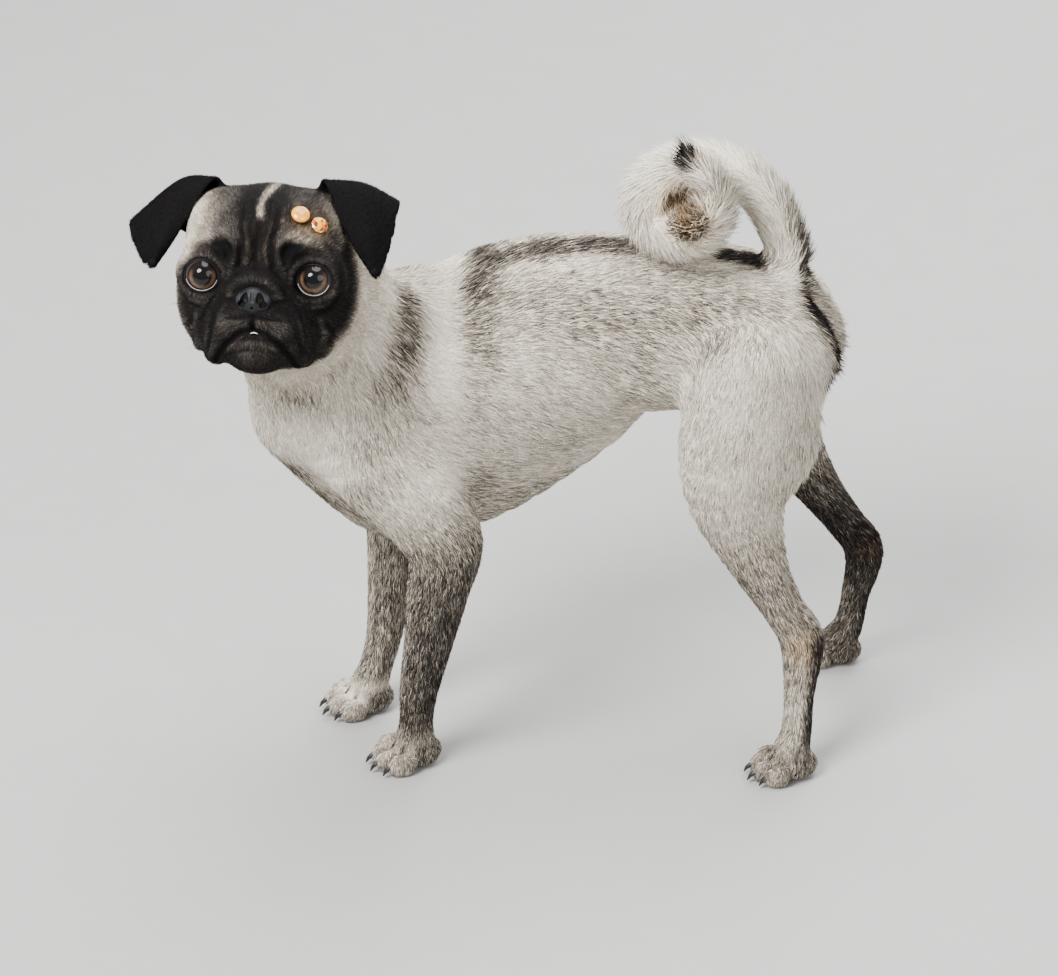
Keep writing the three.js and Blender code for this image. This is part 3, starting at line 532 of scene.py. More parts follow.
NOSE_FORMS = [
    knob((45.6, 0, -5.6), (6.5, 7.4, 7.5), 3),
    *both(lambda s: [knob((46.0, 5.0 * s, -6.2), (4.6, 4.5, 5.0), 2)]),
]


def from_middle(half):
    """A path of places across and up that is the same on both sides, from its left half."""
    return [(-left, up) for left, up in half[:0:-1]] + half


MOUTH = from_middle([(0, -21.5), (7, -23), (14.3, -29), (19, -36), (21.5, -41)])
LIP_SPLIT = [(0, -13.5), (0, -17.5), (0, -21.5)]
NOSTRIL = [((3.9, -2.4), 1.3), ((4.3, -4.8), 2.2), ((5.8, -7.2), 1.9), ((9.2, -8.6), 1.0)]


def in_front(distance, paths):
    """Points of a form seen from in front of the head, for paths of places across and up."""
    places = np.array([(60.0, left, up) for path in paths for left, up in path])
    for _ in range(45):
        places[:, 0] -= 0.6 * np.maximum(distance(in_head(places)), 0)
    return np.split(places, np.cumsum([len(path) for path in paths])[:-1])


def bars(distance, forms, k, ends, cut=False):
    """Round bars laid along a form, each from its path, radius and depth below it, thinner at its ends."""
    made = []
    for places, (_, radius, sink) in zip(in_front(distance, [path for path, _, _ in forms]), forms):
        sizes = [radius * ends, *[radius] * (len(places) - 2), radius * ends]
        stations = [[(f - sink, left, up), size] for (f, left, up), size in zip(places, sizes)]
        made.append(ridge(stations, k, cut))
    return made


def mirrored(points):
    return [points, [(-left, up) for left, up in points]]


def round_eye(radius, first=0, last=360, count=14):
    """Places across and up on an arc round the left eye, counted from its outer corner over its top."""
    angles = np.radians(np.linspace(first, last, count))
    return [(EYE[1] + radius * math.cos(a), EYE[2] + LID_FLATNESS * radius * math.sin(a)) for a in angles]


def lid_ring(left, up):
    """How far places are from the middle of the nearer eye, stretched so that its opening is a circle."""
    return np.hypot(np.abs(left) - EYE[1], (up - EYE[2]) / LID_FLATNESS)


# The opening between the lids: its radius at its rim, how fast it widens outward and droops inward,
# and how far forward its rim and its floor are.
OPENING = {"radius": 9.0, "flare": 0.16, "droop": 0.12, "rim": 32, "floor": 27}


class EyeOpening:
    """The opening between the lids, widest at its rim and lower at its inner corner."""

    k, cut, reach = 1.2, True, 16

    def __init__(self, side):
        self.side, self.middle = side, in_head((OPENING["rim"] + 3, EYE[1] * side, EYE[2]))

    def distance(self, p):
        f, left, up = (to_head(p) - np.array([0, EYE[1] * self.side, EYE[2]])).T
        up = up + OPENING["droop"] * np.maximum(left * -self.side - 3, 0)
        radial = np.hypot(left, up / LID_FLATNESS)
        radius = OPENING["radius"] + OPENING["flare"] * (f - OPENING["rim"])
        return np.maximum(radial - radius, OPENING["floor"] - f)


# Ears: the grid of their sheet, half their thickness, their tip's radius and how softly they join the head.
EAR_ROWS, EAR_COLUMNS = 37, 21
EAR_HALF = 1.05
EAR_TIP = 2.3
EAR_BLEND = 3.0


class Ear:
    """A thin folded flap over a sheet of points, each row from its inner to its outer edge."""

    def __init__(self, rows):
        down = np.linspace(0, len(rows) - 1, EAR_ROWS)
        edges = [spline([in_head(row[c]) for row in rows], down)[0] for c in range(3)]
        across = np.linspace(0, 2, EAR_COLUMNS)
        sheet = np.stack([spline([edge[i] for edge in edges], across)[0] for i in range(EAR_ROWS)])
        points = sheet.reshape(-1, 3)
        number = np.arange(len(points)).reshape(EAR_ROWS, EAR_COLUMNS)
        faces = np.stack([number[:-1, :-1], number[:-1, 1:], number[1:, 1:], number[1:, :-1]], -1)
        self.tree = BVHTree.FromPolygons([Vector(q) for q in points], faces.reshape(-1, 4).tolist())
        middle_line = sheet[:, EAR_COLUMNS // 2]
        self.runs = unit(np.diff(middle_line, axis=0))
        self.tip = middle_line[-2]
        self.middle = (points.min(0) + points.max(0)) / 2
        self.reach = length(points - self.middle).max() + EAR_HALF

    def close(self, p, margin=3):
        """The indices of the places close to the ear."""
        return np.flatnonzero(length(p - self.middle) < self.reach + margin)

    def nearest(self, p):
        """The distance to the flap, and which way it runs there from its base to its tip."""
        found = [self.tree.find_nearest(Vector(q)) for q in p]
        row = np.array([f[2] for f in found], int) // (EAR_COLUMNS - 1)
        flap = np.array([f[3] for f in found]) - EAR_HALF
        return np.minimum(flap, length(p - self.tip) - EAR_TIP), self.runs[row]


EARS = {
    "left": Ear([
        [(-6, 22, 40), (-14, 33, 31), (-12, 40, 18)],
        [(-5, 27, 49), (-14, 46, 41), (-13, 54, 26)],
        [(-1, 30, 53), (-7, 50, 51), (-8, 68, 42)],
        [(5, 34, 49), (2, 52, 47), (1, 69, 38)],
        [(9, 42, 33), (8, 55, 31), (4, 67, 25)],
        [(11, 49, 20), (11, 57, 17), (8, 64, 13)],
        [(11, 58, 7), (11, 60, 5), (10, 62, 7)],
    ]),
    "right": Ear([
        [(-6, -22, 40), (-14, -33, 31), (-12, -40, 18)],
        [(-5, -26, 48), (-14, -45, 42), (-15, -55, 24)],
        [(-1, -30, 52), (-6, -49, 49), (-8, -74, 27)],
        [(4, -35, 47), (3, -52, 41), (0, -74, 21)],
        [(7, -43, 33), (8, -56, 26), (5, -70, 14)],
        [(9, -51, 19), (11, -58, 14), (9, -66, 8)],
        [(10, -58, 8), (11, -61, 5), (10, -63, 7)],
    ]),
}

# Folds of the face and the creases between them, as places across and up. Most are the same on both sides.
FOLDS = [
    (path, radius, proud)
    for half, radius, proud in [
        ([(26, 25.5), (21, 28), (15, 26.5), (11.5, 21.5), (11.5, 15.5), (13.5, 10)], 3.0, 2.2),
        ([(27, 25), (33, 21), (39, 15)], 3.0, 1.3),
        ([(7, 33), (6, 26), (4.5, 19), (5.5, 12.5)], 2.4, 1.4),
        ([(14, 7.5), (19.5, 0), (24, -8), (28, -16)], 2.7, 1.9),
        ([(12, -3), (17, -9), (22, -18), (25, -28)], 3.2, 1.8),
        ([(22.5, -7), (29, -9.5), (36, -7.5), (41, -1)], 2.6, 1.3),
        ([(33, -17), (35.5, -25), (32, -33)], 2.8, 1.2),
        (round_eye(11.6), 1.7, 0.9),
    ]
    for path in mirrored(half)
]
FOLDS += [
    (from_middle([(0, 5.4), (6, 4.2), (11, 0.5), (13.5, -5)]), 3.6, 2.6),
    ([(-12, -31), (-5, -29), (5, -29), (12, -31)], 4.0, 1.0),
]
CREASES = [
    (path, radius, 0.0)
    for half, radius in [
        ([(9.5, 39), (9.8, 31), (7.2, 24.5), (8.2, 17), (9, 11)], 1.5),
        ([(4.8, 44), (4.2, 38), (0.6, 34.5)], 1.0),
        ([(22, 21.5), (18, 21.5), (15, 18.5), (15.5, 13.5)], 2.2),
        ([(16.5, 6), (21.5, -3), (26, -12), (30, -20)], 1.3),
        ([(11.5, -7), (16.5, -6), (20.5, -14), (23, -23), (25, -33)], 1.6),
        ([(33, -12.5), (38, -10), (43, -4)], 1.1),
        ([(36, -20), (39, -28), (34, -37)], 1.2),
    ]
    for path in mirrored(half)
]
CREASES += [
    (from_middle([(0, 10), (6, 9), (11.5, 6), (17, 0)]), 2.0, 0.0),
    ([(0.5, 34), (0.3, 26), (-0.6, 18), (0, 11)], 1.2, 0.0),
    (from_middle([(0, -14.2), (7, -15), (14, -15.5)]), 1.0, 0.0),
]

BODY = [TRUNK, NECK, THROAT, NAPE, *LEGS.values(), TAIL.between(0, 4, 14), TAIL.between(4, 16, 5), CLEFT]
plain_head = field([NECK, NAPE, *SKULL, *FACE])
folds = bars(plain_head, [(path, radius, radius - proud) for path, radius, proud in FOLDS], 2.0, 0.6)
folded_head = field([NECK, NAPE, *SKULL, *FACE, *folds])
nose_form = field(NOSE_FORMS)
outer = field([
    *BODY,
    *(form for paw in PAWS.values() for form in paw_forms(paw)),
    *SKULL,
    *FACE,
    *folds,
    *bars(folded_head, CREASES, 1.8, 0.5, cut=True),
    *bars(folded_head, [(MOUTH, 2.3, 0.3), (LIP_SPLIT, 1.1, 0.2)], 1.2, 0.5, cut=True),
    *(EyeOpening(side) for side in (1, -1)),
])


# How far the coat stands off the skin.
COAT_DEPTH = {"body": 2.3, "leg": 1.2, "foot": 0.7, "tail": 4.2, "tail_end": 1.0, "head": 0.9, "face": 0.3}
SOLE_HEIGHT = 0.6


def coat_depth(p):
    x, y, z = p.T
    local = to_head(p)
    depth = mix(COAT_DEPTH["body"], COAT_DEPTH["leg"], smooth(150, 60, z))
    depth = mix(depth, COAT_DEPTH["foot"], smooth(30, 15, z))
    depth = mix(depth, COAT_DEPTH["tail"], smooth(300, 322, z) * smooth(20, 50, y))
    depth = mix(depth, COAT_DEPTH["tail_end"], smooth(360, 372, z) * smooth(-9, -3, x))
    head = smooth(76, 60, length(local - HEAD_MIDDLE))
    depth = mix(depth, COAT_DEPTH["head"], head)
    return mix(depth, COAT_DEPTH["face"], head * smooth(26, 36, local[:, 0]))


def skin_distance(p):
    """The signed distance to the skin, which is level at the soles."""
    distance = outer(p) + coat_depth(p)
    for ear in EARS.values():
        near = ear.close(p, 6)
        distance[near] = join(distance[near], ear.nearest(p[near])[0], EAR_BLEND)
    return np.maximum(distance, SOLE_HEIGHT - p[:, 2])


SKIN_LINES = (
    grid_lines((-114, 2.3), (30, 1.25), (130, 0)),
    grid_lines((-222, 1.25), (-84, 2.3), (222, 0)),
    grid_lines((-2, 1.6), (40, 2.3), (288, 1.25), (400, 0)),
)


# The lie of the coat: where hair grows along each limb, and away from the nose on the head.
FLOW = [(TRUNK, 1), (NECK, -1), (TAIL, 1), *((leg, 1) for leg in LEGS.values())]
NOSE_TIP = in_head((50, 0, -6))


def headness(p):
    """How far a place belongs to the head, from 0 to 1."""
    return smooth(78, 62, length(to_head(p) - HEAD_MIDDLE))


def lie_of(p, normal):
    lie = np.zeros_like(p)
    for limb, sign in FLOW:
        distance, station = limb.nearest(p)
        lie += (np.exp(-np.clip(distance + 4, 0, 90) / 5) * sign)[:, None] * limb.heading(station)
    lie[:, 2] -= 0.35 * smooth(0.95, 0.3, np.abs(normal[:, 2])) * smooth(190, 230, p[:, 2])
    back = unit(p - NOSE_TIP) + np.array([0, 0, -0.15])
    lie = mix(unit(lie), back, headness(p)[:, None])
    for side in (1, -1):
        away = p - in_head((EYE[0] + 6, EYE[1] * side, EYE[2]))
        lie = mix(lie, unit(away), smooth(18, 11, length(away))[:, None])
    for ear in EARS.values():
        near = ear.close(p)
        distance, heading = ear.nearest(p[near])
        lie[near] = mix(lie[near], heading, smooth(3, 1.5, distance)[:, None])
    return unit(lie - normal * np.einsum("ij,ij->i", lie, normal)[:, None])


# Colours of the coat: from its palest hair to its blackest, in even steps of darkness.
SHADES = np.array([
    (0.86, 0.795, 0.67),
    (0.52, 0.455, 0.365),
    (0.235, 0.198, 0.155),
    (0.072, 0.062, 0.054),
    (0.0125, 0.0105, 0.0098),
    (0.0028, 0.0026, 0.0028),
])


def shade(dark):
    """The colour of hair from a darkness of 0, cream, to 1, black."""
    steps = np.linspace(0, 1, len(SHADES))
    return np.stack([np.interp(dark, steps, column) for column in SHADES.T], -1)


def spot(p, middle, radii):
    """1 in the middle of a soft spot, falling off over its radii."""
    return np.exp(-(((p - np.array(middle)) / np.array(radii)) ** 2).sum(1))


def dabbed(dark, p, marks):
    """A darkness with dabs laid over it one after another, each a place, its radii and its own darkness."""
    for middle, radii, value in marks:
        dark = mix(dark, value, np.minimum(1, 1.35 * spot(p, middle, radii)))
    return dark


def on_path(plane, path, width):
    """1 on a path of places across and up, falling off over a width to each side."""
    nearest = np.full(len(plane), 1e3)
    for a, b in zip(path, path[1:]):
        a, run = np.array(a), np.subtract(b, a)
        t = np.clip((plane - a) @ run / (run @ run), 0, 1)
        nearest = np.minimum(nearest, length(plane - a - t[:, None] * run))
    return np.exp(-((nearest / width) ** 2))


BODY_MARKS = [
    # speckled flank and loin
    ((12, 20, 292), (26, 46, 18), 0.36),
    ((18, 50, 280), (22, 40, 20), 0.38),
    ((14, 108, 288), (20, 36, 17), 0.40),
    ((-2, 86, 303), (12, 22, 9), 0.30),
    ((30, 4, 268), (14, 26, 14), 0.18),
    ((40, -4, 225), (18, 30, 30), 0.20),
    ((24, 64, 256), (12, 14, 24), 0.28),
    ((40, 106, 258), (14, 24, 26), 0.08),
    ((26, 132, 283), (14, 18, 10), 0.20),
    ((30, 152, 262), (14, 16, 22), 0.10),
    # behind the withers
    ((2, -30, 303), (24, 10, 14), 0.62),
    ((30, -30, 283), (14, 10, 20), 0.46),
    ((42, -33, 256), (12, 9, 20), 0.25),
    # pale shoulder band
    ((-2, -48, 303), (14, 7, 12), 0.10),
    ((20, -50, 297), (14, 7, 14), 0.02),
    ((35, -50, 280), (13, 8, 18), 0.00),
    ((45, -46, 254), (12, 9, 22), 0.06),
    ((52, -50, 222), (14, 16, 18), 0.15),
    # dark band behind the ruff
    ((27, -69, 306), (13, 7, 14), 0.60),
    ((40, -70, 290), (13, 8, 18), 0.60),
    ((52, -78, 266), (12, 10, 18), 0.38),
    ((58, -82, 238), (16, 16, 20), 0.22),
    # ruff, and painted shade in the crease under the cheek
    ((42, -83, 319), (14, 10, 14), 0.12),
    ((58, -89, 300), (12, 9, 18), 0.06),
    ((64, -100, 275), (12, 11, 18), 0.12),
    # painted shade in the crease under the cheek
    ((76, -103, 292), (7, 8, 22), 0.52),
    # throat, white star, breastbone, lower chest, and painted shade in the pit behind the elbow
    ((74, -128, 273), (14, 14, 12), 0.36),
    ((58, -130, 234), (10, 12, 18), 0.00),
    ((34, -135, 203), (15, 10, 11), 0.52),
    ((22, -122, 181), (17, 18, 11), 0.50),
    ((64, -94, 203), (14, 16, 14), 0.30),
    ((56, -50, 204), (16, 16, 14), 0.06),
    ((66, -66, 192), (16, 16, 12), 0.16),
    ((58, -116, 218), (14, 16, 18), 0.0),
    # painted shade in the pit behind the elbow
    ((40, -30, 188), (10, 10, 18), 0.42),
]
SPINE = [(-110, 14), (-40, -14), (0, -27), (42, -32), (110, -28), (150, -21)]  # how far back, how far left
LEG_SHADES = {
    # heights, and how dark the leg is there; the darkest values at the floor are painted shade under the paws
    "foreleg_left": (
        [0, 4, 9, 16, 30, 50, 100, 140, 155, 170, 182],
        [0.8, 0.6, 0.3, 0.34, 0.62, 0.66, 0.64, 0.58, 0.48, 0.34, 0.2],
    ),
    "foreleg_right": (
        [0, 4, 9, 16, 30, 50, 100, 140, 160, 176, 190],
        [0.8, 0.5, 0.05, 0.05, 0.42, 0.5, 0.52, 0.52, 0.48, 0.42, 0.3],
    ),
    "hindleg_left": (
        [0, 4, 9, 20, 40, 75, 100, 130, 155, 185],
        [0.9, 0.7, 0.46, 0.44, 0.30, 0.36, 0.42, 0.42, 0.28, 0.10],
    ),
    # the far hind leg: its grizzle deepened with painted shade, most from 85 to 120 mm up
    "hindleg_right": (
        [0, 4, 20, 50, 85, 100, 120, 145, 175, 205],
        [0.9, 0.7, 0.56, 0.60, 0.80, 0.82, 0.76, 0.60, 0.40, 0.22],
    ),
}


def body_darkness(p):
    """How dark the trunk and neck are: marks alike on both sides, painted shade low on the belly, a dark back
    and a black cleft.
    """
    x, y, z = p.T
    middle = np.interp(y, *zip(*SPINE))
    side = np.abs(x - middle)
    left_side = np.stack([middle + side, y, z], 1)
    # The base darkens below 200 mm up: painted shade low on the trunk, under the belly and chest.
    dark = dabbed(0.13 + 0.20 * smooth(200, 180, z), left_side, BODY_MARKS)
    rough = 3.5 * noise(p, 8, 4)
    width = mix(18, 12, smooth(75, 105, y))
    back = smooth(width, 5, side + rough) * smooth(285, 298, z) * smooth(-44, -28, y)
    dark = mix(dark, 0.66 + 0.16 * smooth(60, 110, y), back)
    cleft = np.exp(-(((x + 8) / 11) ** 2)) * smooth(146, 158, y) * smooth(190, 215, z)
    return mix(dark, 0.88, np.minimum(1, 1.3 * cleft))


def between_toes(name, p, dark):
    """A paw's darkness with painted shade in the gaps between its toes, and painted shade low behind them and
    at its outer sides.
    """
    left, back, up = on_toes(PAWS[name], p).T
    gap = sum(np.exp(-(((left - middle) / 1.3) ** 2)) for middle in (-9, 0, 9))
    low = smooth(24, 17, up)
    # painted shade in the gaps between the toes
    dark = mix(dark, 0.95, 0.85 * np.minimum(1, gap) * low * smooth(-3, -9, back))
    # painted shade low on the paw, behind the toes and at its outer sides
    return mix(dark, 0.62, 0.8 * low * smooth(-4, 5, back) + 0.4 * low * smooth(12, 15, np.abs(left)))


def leg_darkness(name, p, station):
    """How dark a leg is: by its height, and darker along some edges."""
    z = p[:, 2]
    dark = np.interp(z, *LEG_SHADES[name])
    ahead = LEGS[name].ahead(p, station)
    if name.startswith("foreleg"):
        dark = dark + 0.07 * smooth(0.2, -0.8, ahead) * smooth(24, 50, z)
        dark = dark - 0.12 * smooth(0.4, 0.9, ahead) * smooth(40, 60, z) * smooth(150, 120, z)
        return between_toes(name, p, dark)
    knee = smooth(0.45, 0.95, ahead) * smooth(84, 104, z) * smooth(215, 180, z)
    heel = smooth(-0.1, -0.8, ahead) * smooth(14, 26, z) * smooth(106, 82, z)
    dark = mix(dark, 0.66, 0.8 * knee)
    return between_toes(name, p, mix(dark, 0.82, 0.9 * heel))


def tail_darkness(p, station, normal):
    """How dark the tail is: cream, with a dark root, behind it most of all, and a black tip."""
    dark = 0.02 + 0.05 * noise(p, 7, 2)
    dark = dark + 0.55 * smooth(4.6, 0.8, station) * smooth(0.25, 0.9, normal[:, 1])
    dark = dark + 0.14 * smooth(3.5, 1.0, station)
    dark = dark + 0.20 * smooth(11.5, 13.0, station)
    return mix(dark, 0.84, smooth(14.1, 15.2, station))


FACE_EDGE = {
    # how far out the dark mask reaches at each height, on either side
    "up": [-36, -24, -12, -2, 8, 16, 24, 32, 42],
    "left": [36, 45, 50, 51, 49, 45, 41, 38, 33],
    "right": [36, 42, 47, 48, 43, 37, 35, 34, 32],
}
FACE_MARKS = [
    ((side * left, up), radii, value)
    for sides, left, up, radii, value in [
        # on one side or both, how far to the left and up, radii and darkness: the whole muzzle
        (2, 9, -9, (20, 12), 0.91),
        # grey hairs of the muzzle and the chin
        (1, 0, -18, (14, 4), 0.73),
        (2, 12, -20, (9, 6), 0.70),
        (2, 22, -31, (5, 9), 0.80),
        (1, 0, -34, (12, 9), 0.79),
        # forehead
        (1, 24, 27, (9, 6), 0.60),
        (1, -31, 32, (7, 12), 0.46),
        (1, -12, 30, (3, 8), 0.78),
        (1, 12, 31, (3, 7), 0.74),
        (2, 17, 19, (6, 4.5), 1.03),
    ]
    for side in (1, -1)[:sides]
]
BLAZE = [(3.2, 49), (0.6, 45.5), (-0.4, 41), (0.4, 37)]


def mask_edge(left, up):
    """How far out the dark mask reaches, at heights on either side."""
    reach = {side: np.interp(up, FACE_EDGE["up"], FACE_EDGE[side]) for side in ("left", "right")}
    return np.where(left > 0, reach["left"], reach["right"])


def mask_darkness(left, up):
    """How dark the mask is: its shades, paler hairs and painted highlights on the folds, painted shade in the
    creases, the mouth's black with painted shade in its slit, black lid rims and the pale blaze.
    """
    plane = np.stack([left, up], 1)
    forehead = mix(0.74, 0.90, smooth(19, 8, np.abs(left)))
    forehead = mix(forehead, 0.52, smooth(46, 60, up))
    face = dabbed(mix(forehead, 0.85, smooth(30, 16, up)), plane, FACE_MARKS)
    # folds: paler grey hairs on the ridges, with a painted highlight
    for path, radius, _ in FOLDS:
        face = face - 0.09 * on_path(plane, path, 0.55 * radius)
    # creases: painted shade
    for path, radius, _ in CREASES:
        face = mix(face, 1.0, 0.75 * on_path(plane, path, 0.8 * radius))
    # mouth and lip split: the lips' own black, with painted shade in the slit
    for path in (MOUTH, LIP_SPLIT):
        face = mix(face, 1.05, on_path(plane, path, 1.5))
    face = mix(face, 1.0, np.exp(-(((lid_ring(left, up) - LID_RADIUS) / 0.9) ** 2)))
    return mix(face, 0.26, 0.75 * on_path(plane, BLAZE, 2.2))


def head_darkness(p):
    """How dark the head is: the mask, pale temples round it and the neck behind."""
    f, left, up = to_head(p).T
    behind = 0.30 + 0.16 * smooth(30, 44, up) * smooth(40, 20, np.abs(left)) - 0.12 * smooth(10, -10, up)
    edge = mask_edge(left, up)
    within = smooth(edge + 5, edge - 5, np.abs(left) + 2 * noise(p, 7, 8))
    temple = mix(0.38, 0.14, smooth(-20, -32, left) * smooth(-4, 8, up))
    return mix(behind, mix(temple, mask_darkness(left, up), within), smooth(-6, 9, f + 0.25 * up))


# The middle of the tail's curl, backward and up.
CURL = np.array([86.0, 346.0])


def in_curl(p):
    """1 on the inner side of the tail's curl."""
    return smooth(15.5, 11, np.hypot(*(p[:, 1:] - CURL).T)) * (p[:, 2] > 325)


WARM = np.array([1.35, 0.98, 0.66])
WARM_SPOTS = [
    # brown and orange patches: hocks, the slit of the curl (painted brown shade in its hollow), the forehead
    # and round the beads
    ((38, 158, 86), (8, 10, 11), 0.55),
    ((-68, 204, 92), (10, 10, 10), 0.5),
    # painted brown shade in the hollow of the curl
    ((-8, 86, 346), (22, 11, 11), 1.3),
    (in_head((34, 0, 24)), (10, 10, 13), 0.35),
    (in_head((29, 21, 37)), (8, 8, 8), 0.8),
    (in_head((24, 31, 32)), (8, 8, 8), 0.8),
]


def coat_shade(p, normal):
    """How dark the coat is at places on the skin, and what its colour is multiplied by."""
    dark = body_darkness(p)
    for name, leg in LEGS.items():
        low = np.flatnonzero(p[:, 2] < 215)
        distance, station = leg.nearest(p[low])
        share = smooth(12, 2, distance) * smooth(205, 172, p[low, 2])
        dark[low] = mix(dark[low], leg_darkness(name, p[low], station), share)
    high = np.flatnonzero((p[:, 2] > 280) & (p[:, 1] > 50))
    distance, station = TAIL.nearest(p[high])
    # painted shade in the hollow inside the tail's curl
    tail = mix(tail_darkness(p[high], station, normal[high]), 0.46, in_curl(p[high]) ** 3)
    dark[high] = mix(dark[high], tail, smooth(3, -1, distance))
    near = np.flatnonzero(headness(p) > 0)
    dark[near] = mix(dark[near], head_darkness(p[near]), headness(p[near]))
    dark = dark + (0.05 * noise(p, 14) + 0.05 * noise(p, 5, 1)) * smooth(1.0, 0.7, dark)
    for ear in EARS.values():
        near = ear.close(p)
        dark[near] = mix(dark[near], 0.97, smooth(3.2, 1.8, ear.nearest(p[near])[0]))
    hue = np.ones_like(p)
    for middle, radii, strength in WARM_SPOTS:
        hue = hue * WARM ** (strength * spot(p, middle, radii))[:, None]
    return dark, hue


# Making pieces.
def placed(name, data):
    """A new object in the scene."""
    made = bpy.data.objects.new(name, data)
    bpy.context.scene.collection.objects.link(made)
    return made


def piece(name, points, faces, material, tint, slot=None, replaces=(), normals=None, uv=None, flat=False):
    """A mesh piece of the dog, in one tint or in one for each point. All its faces have as many corners."""
    mesh = bpy.data.meshes.new(name)
    mesh.vertices.add(len(points))
    mesh.vertices.foreach_set("co", to_frame(points).astype(np.float32).ravel())
    mesh.loops.add(faces.size)
    mesh.loops.foreach_set("vertex_index", faces.astype(np.int32).ravel())
    mesh.polygons.add(len(faces))
    mesh.polygons.foreach_set("loop_start", np.arange(0, faces.size, faces.shape[1], dtype=np.int32))
    mesh.update(calc_edges=True)
    mesh.polygons.foreach_set("use_smooth", np.full(len(faces), not flat))
    rgba = np.ones((len(points), 4), np.float32)
    rgba[:, :3] = tint
    mesh.color_attributes.new("tint", "FLOAT_COLOR", "POINT").data.foreach_set("color", rgba.ravel())
    if uv is not None:
        mesh.uv_layers.new(name="OFBake").data.foreach_set("uv", uv.astype(np.float32).ravel())
    if normals is not None:
        mesh.normals_split_custom_set_from_vertices(normals)
    mesh.materials.append(material)
    made = placed(name, mesh)
    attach(made, "root")
    if replaces:
        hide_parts(*replaces)


def between_rings(rings, sides):
    """The four-cornered faces between closed rings of points, one ring after another."""
    i, j = np.meshgrid(np.arange(rings - 1), np.arange(sides), indexing="ij")
    a, b = i * sides + j, i * sides + (j + 1) % sides
    return np.stack([a, b, b + sides, a + sides], -1).reshape(-1, 4)


def tube(path, radii, sides=8):
    """Points and faces of a closed tube along a path, drawn to a point at each end."""
    path = np.asarray(path, float)
    radii = np.broadcast_to(radii, len(path))
    along = unit(np.gradient(path, axis=0))
    side = unit(np.cross(along, (0.31, 0.17, 0.93)))
    rise = np.cross(along, side)
    angle = np.linspace(0, 2 * np.pi, sides, endpoint=False)[None, :, None]
    around = np.cos(angle) * side[:, None] + np.sin(angle) * rise[:, None]
    rings = path[:, None] + radii[:, None, None] * around
    rings = np.concatenate([np.repeat(path[:1, None], sides, 1), rings, np.repeat(path[-1:, None], sides, 1)])
    return rings.reshape(-1, 3), between_rings(len(rings), sides)


def joined(parts):
    """Several lists of points and faces as one."""
    starts = np.cumsum([0, *(len(points) for points, _ in parts)])
    faces = [faces + start for (_, faces), start in zip(parts, starts)]
    return np.concatenate([points for points, _ in parts]), np.concatenate(faces)


# Parts of the body, each with a coat piece of its own, and where they meet: how far back along the trunk,
# at what height on the legs, at which stations of the tail and how far forward on the head.
TRUNK_PARTS = ["neck", "chest", "loin", "rump"]
PARTS = [*TRUNK_PARTS, "scalp", "face", "ear_left", "ear_right", "tail_root", "tail_curl", *LEGS]
TRUNK_BORDERS = [-72, 4, 78]
LEG_TOP = 178
TAIL_START, CURL_START = 1.3, 8.5
FACE_START = 12


def part_of(p):
    """The parts that places on the skin belong to, as their numbers in PARTS."""
    part = np.searchsorted(TRUNK_BORDERS, p[:, 1])
    distances = np.stack([leg.nearest(p)[0] for leg in LEGS.values()])
    on_leg = (p[:, 2] < LEG_TOP) & (distances.min(0) < 9)
    part[on_leg] = PARTS.index("foreleg_left") + distances.argmin(0)[on_leg]
    distance, station = TAIL.nearest(p)
    on_tail = (distance < 3) & (station > TAIL_START)
    part[on_tail] = PARTS.index("tail_root") + (station[on_tail] > CURL_START)
    on_head = headness(p) > 0.5
    part[on_head] = PARTS.index("scalp") + (to_head(p[on_head])[:, 0] > FACE_START)
    for side, ear in EARS.items():
        near = ear.close(p)
        part[near[ear.nearest(p[near])[0] < 2.2]] = PARTS.index(f"ear_{side}")
    return part


def is_part(part, *names):
    return np.isin(part, [PARTS.index(name) for name in names])


def unwrap(points, quads, part):
    """The skin laid out flat: each part seen along six directions, each in a cell of its own on one sheet."""
    margin, spare = 5, 1.25
    corners = points[quads]
    facing = np.cross(corners[:, 2] - corners[:, 0], corners[:, 3] - corners[:, 1])
    way = np.abs(facing).argmax(1)
    kind, chart = np.unique(part * 6 + way * 2 + (facing[np.arange(len(way)), way] > 0), return_inverse=True)
    axes = (way[:, None] + (1, 2)) % 3
    flat = np.take_along_axis(corners, axes[:, None].repeat(4, 1), 2)
    low = np.array([flat[chart == c].min((0, 1)) for c in range(len(kind))]) - margin
    size = np.array([flat[chart == c].max((0, 1)) for c in range(len(kind))]) - low + margin
    width = max(math.sqrt(size.prod(1).sum() * spare), size[:, 0].max())
    place, x, y, row = np.zeros_like(low), 0, 0, 0
    for c in np.argsort(-size[:, 1]):
        if x + size[c, 0] > width:
            x, y, row = 0, y + row, 0
        place[c] = x, y
        x, row = x + size[c, 0], max(row, size[c, 1])
    return (flat - low[chart][:, None] + place[chart][:, None]) / max(width, y + row)


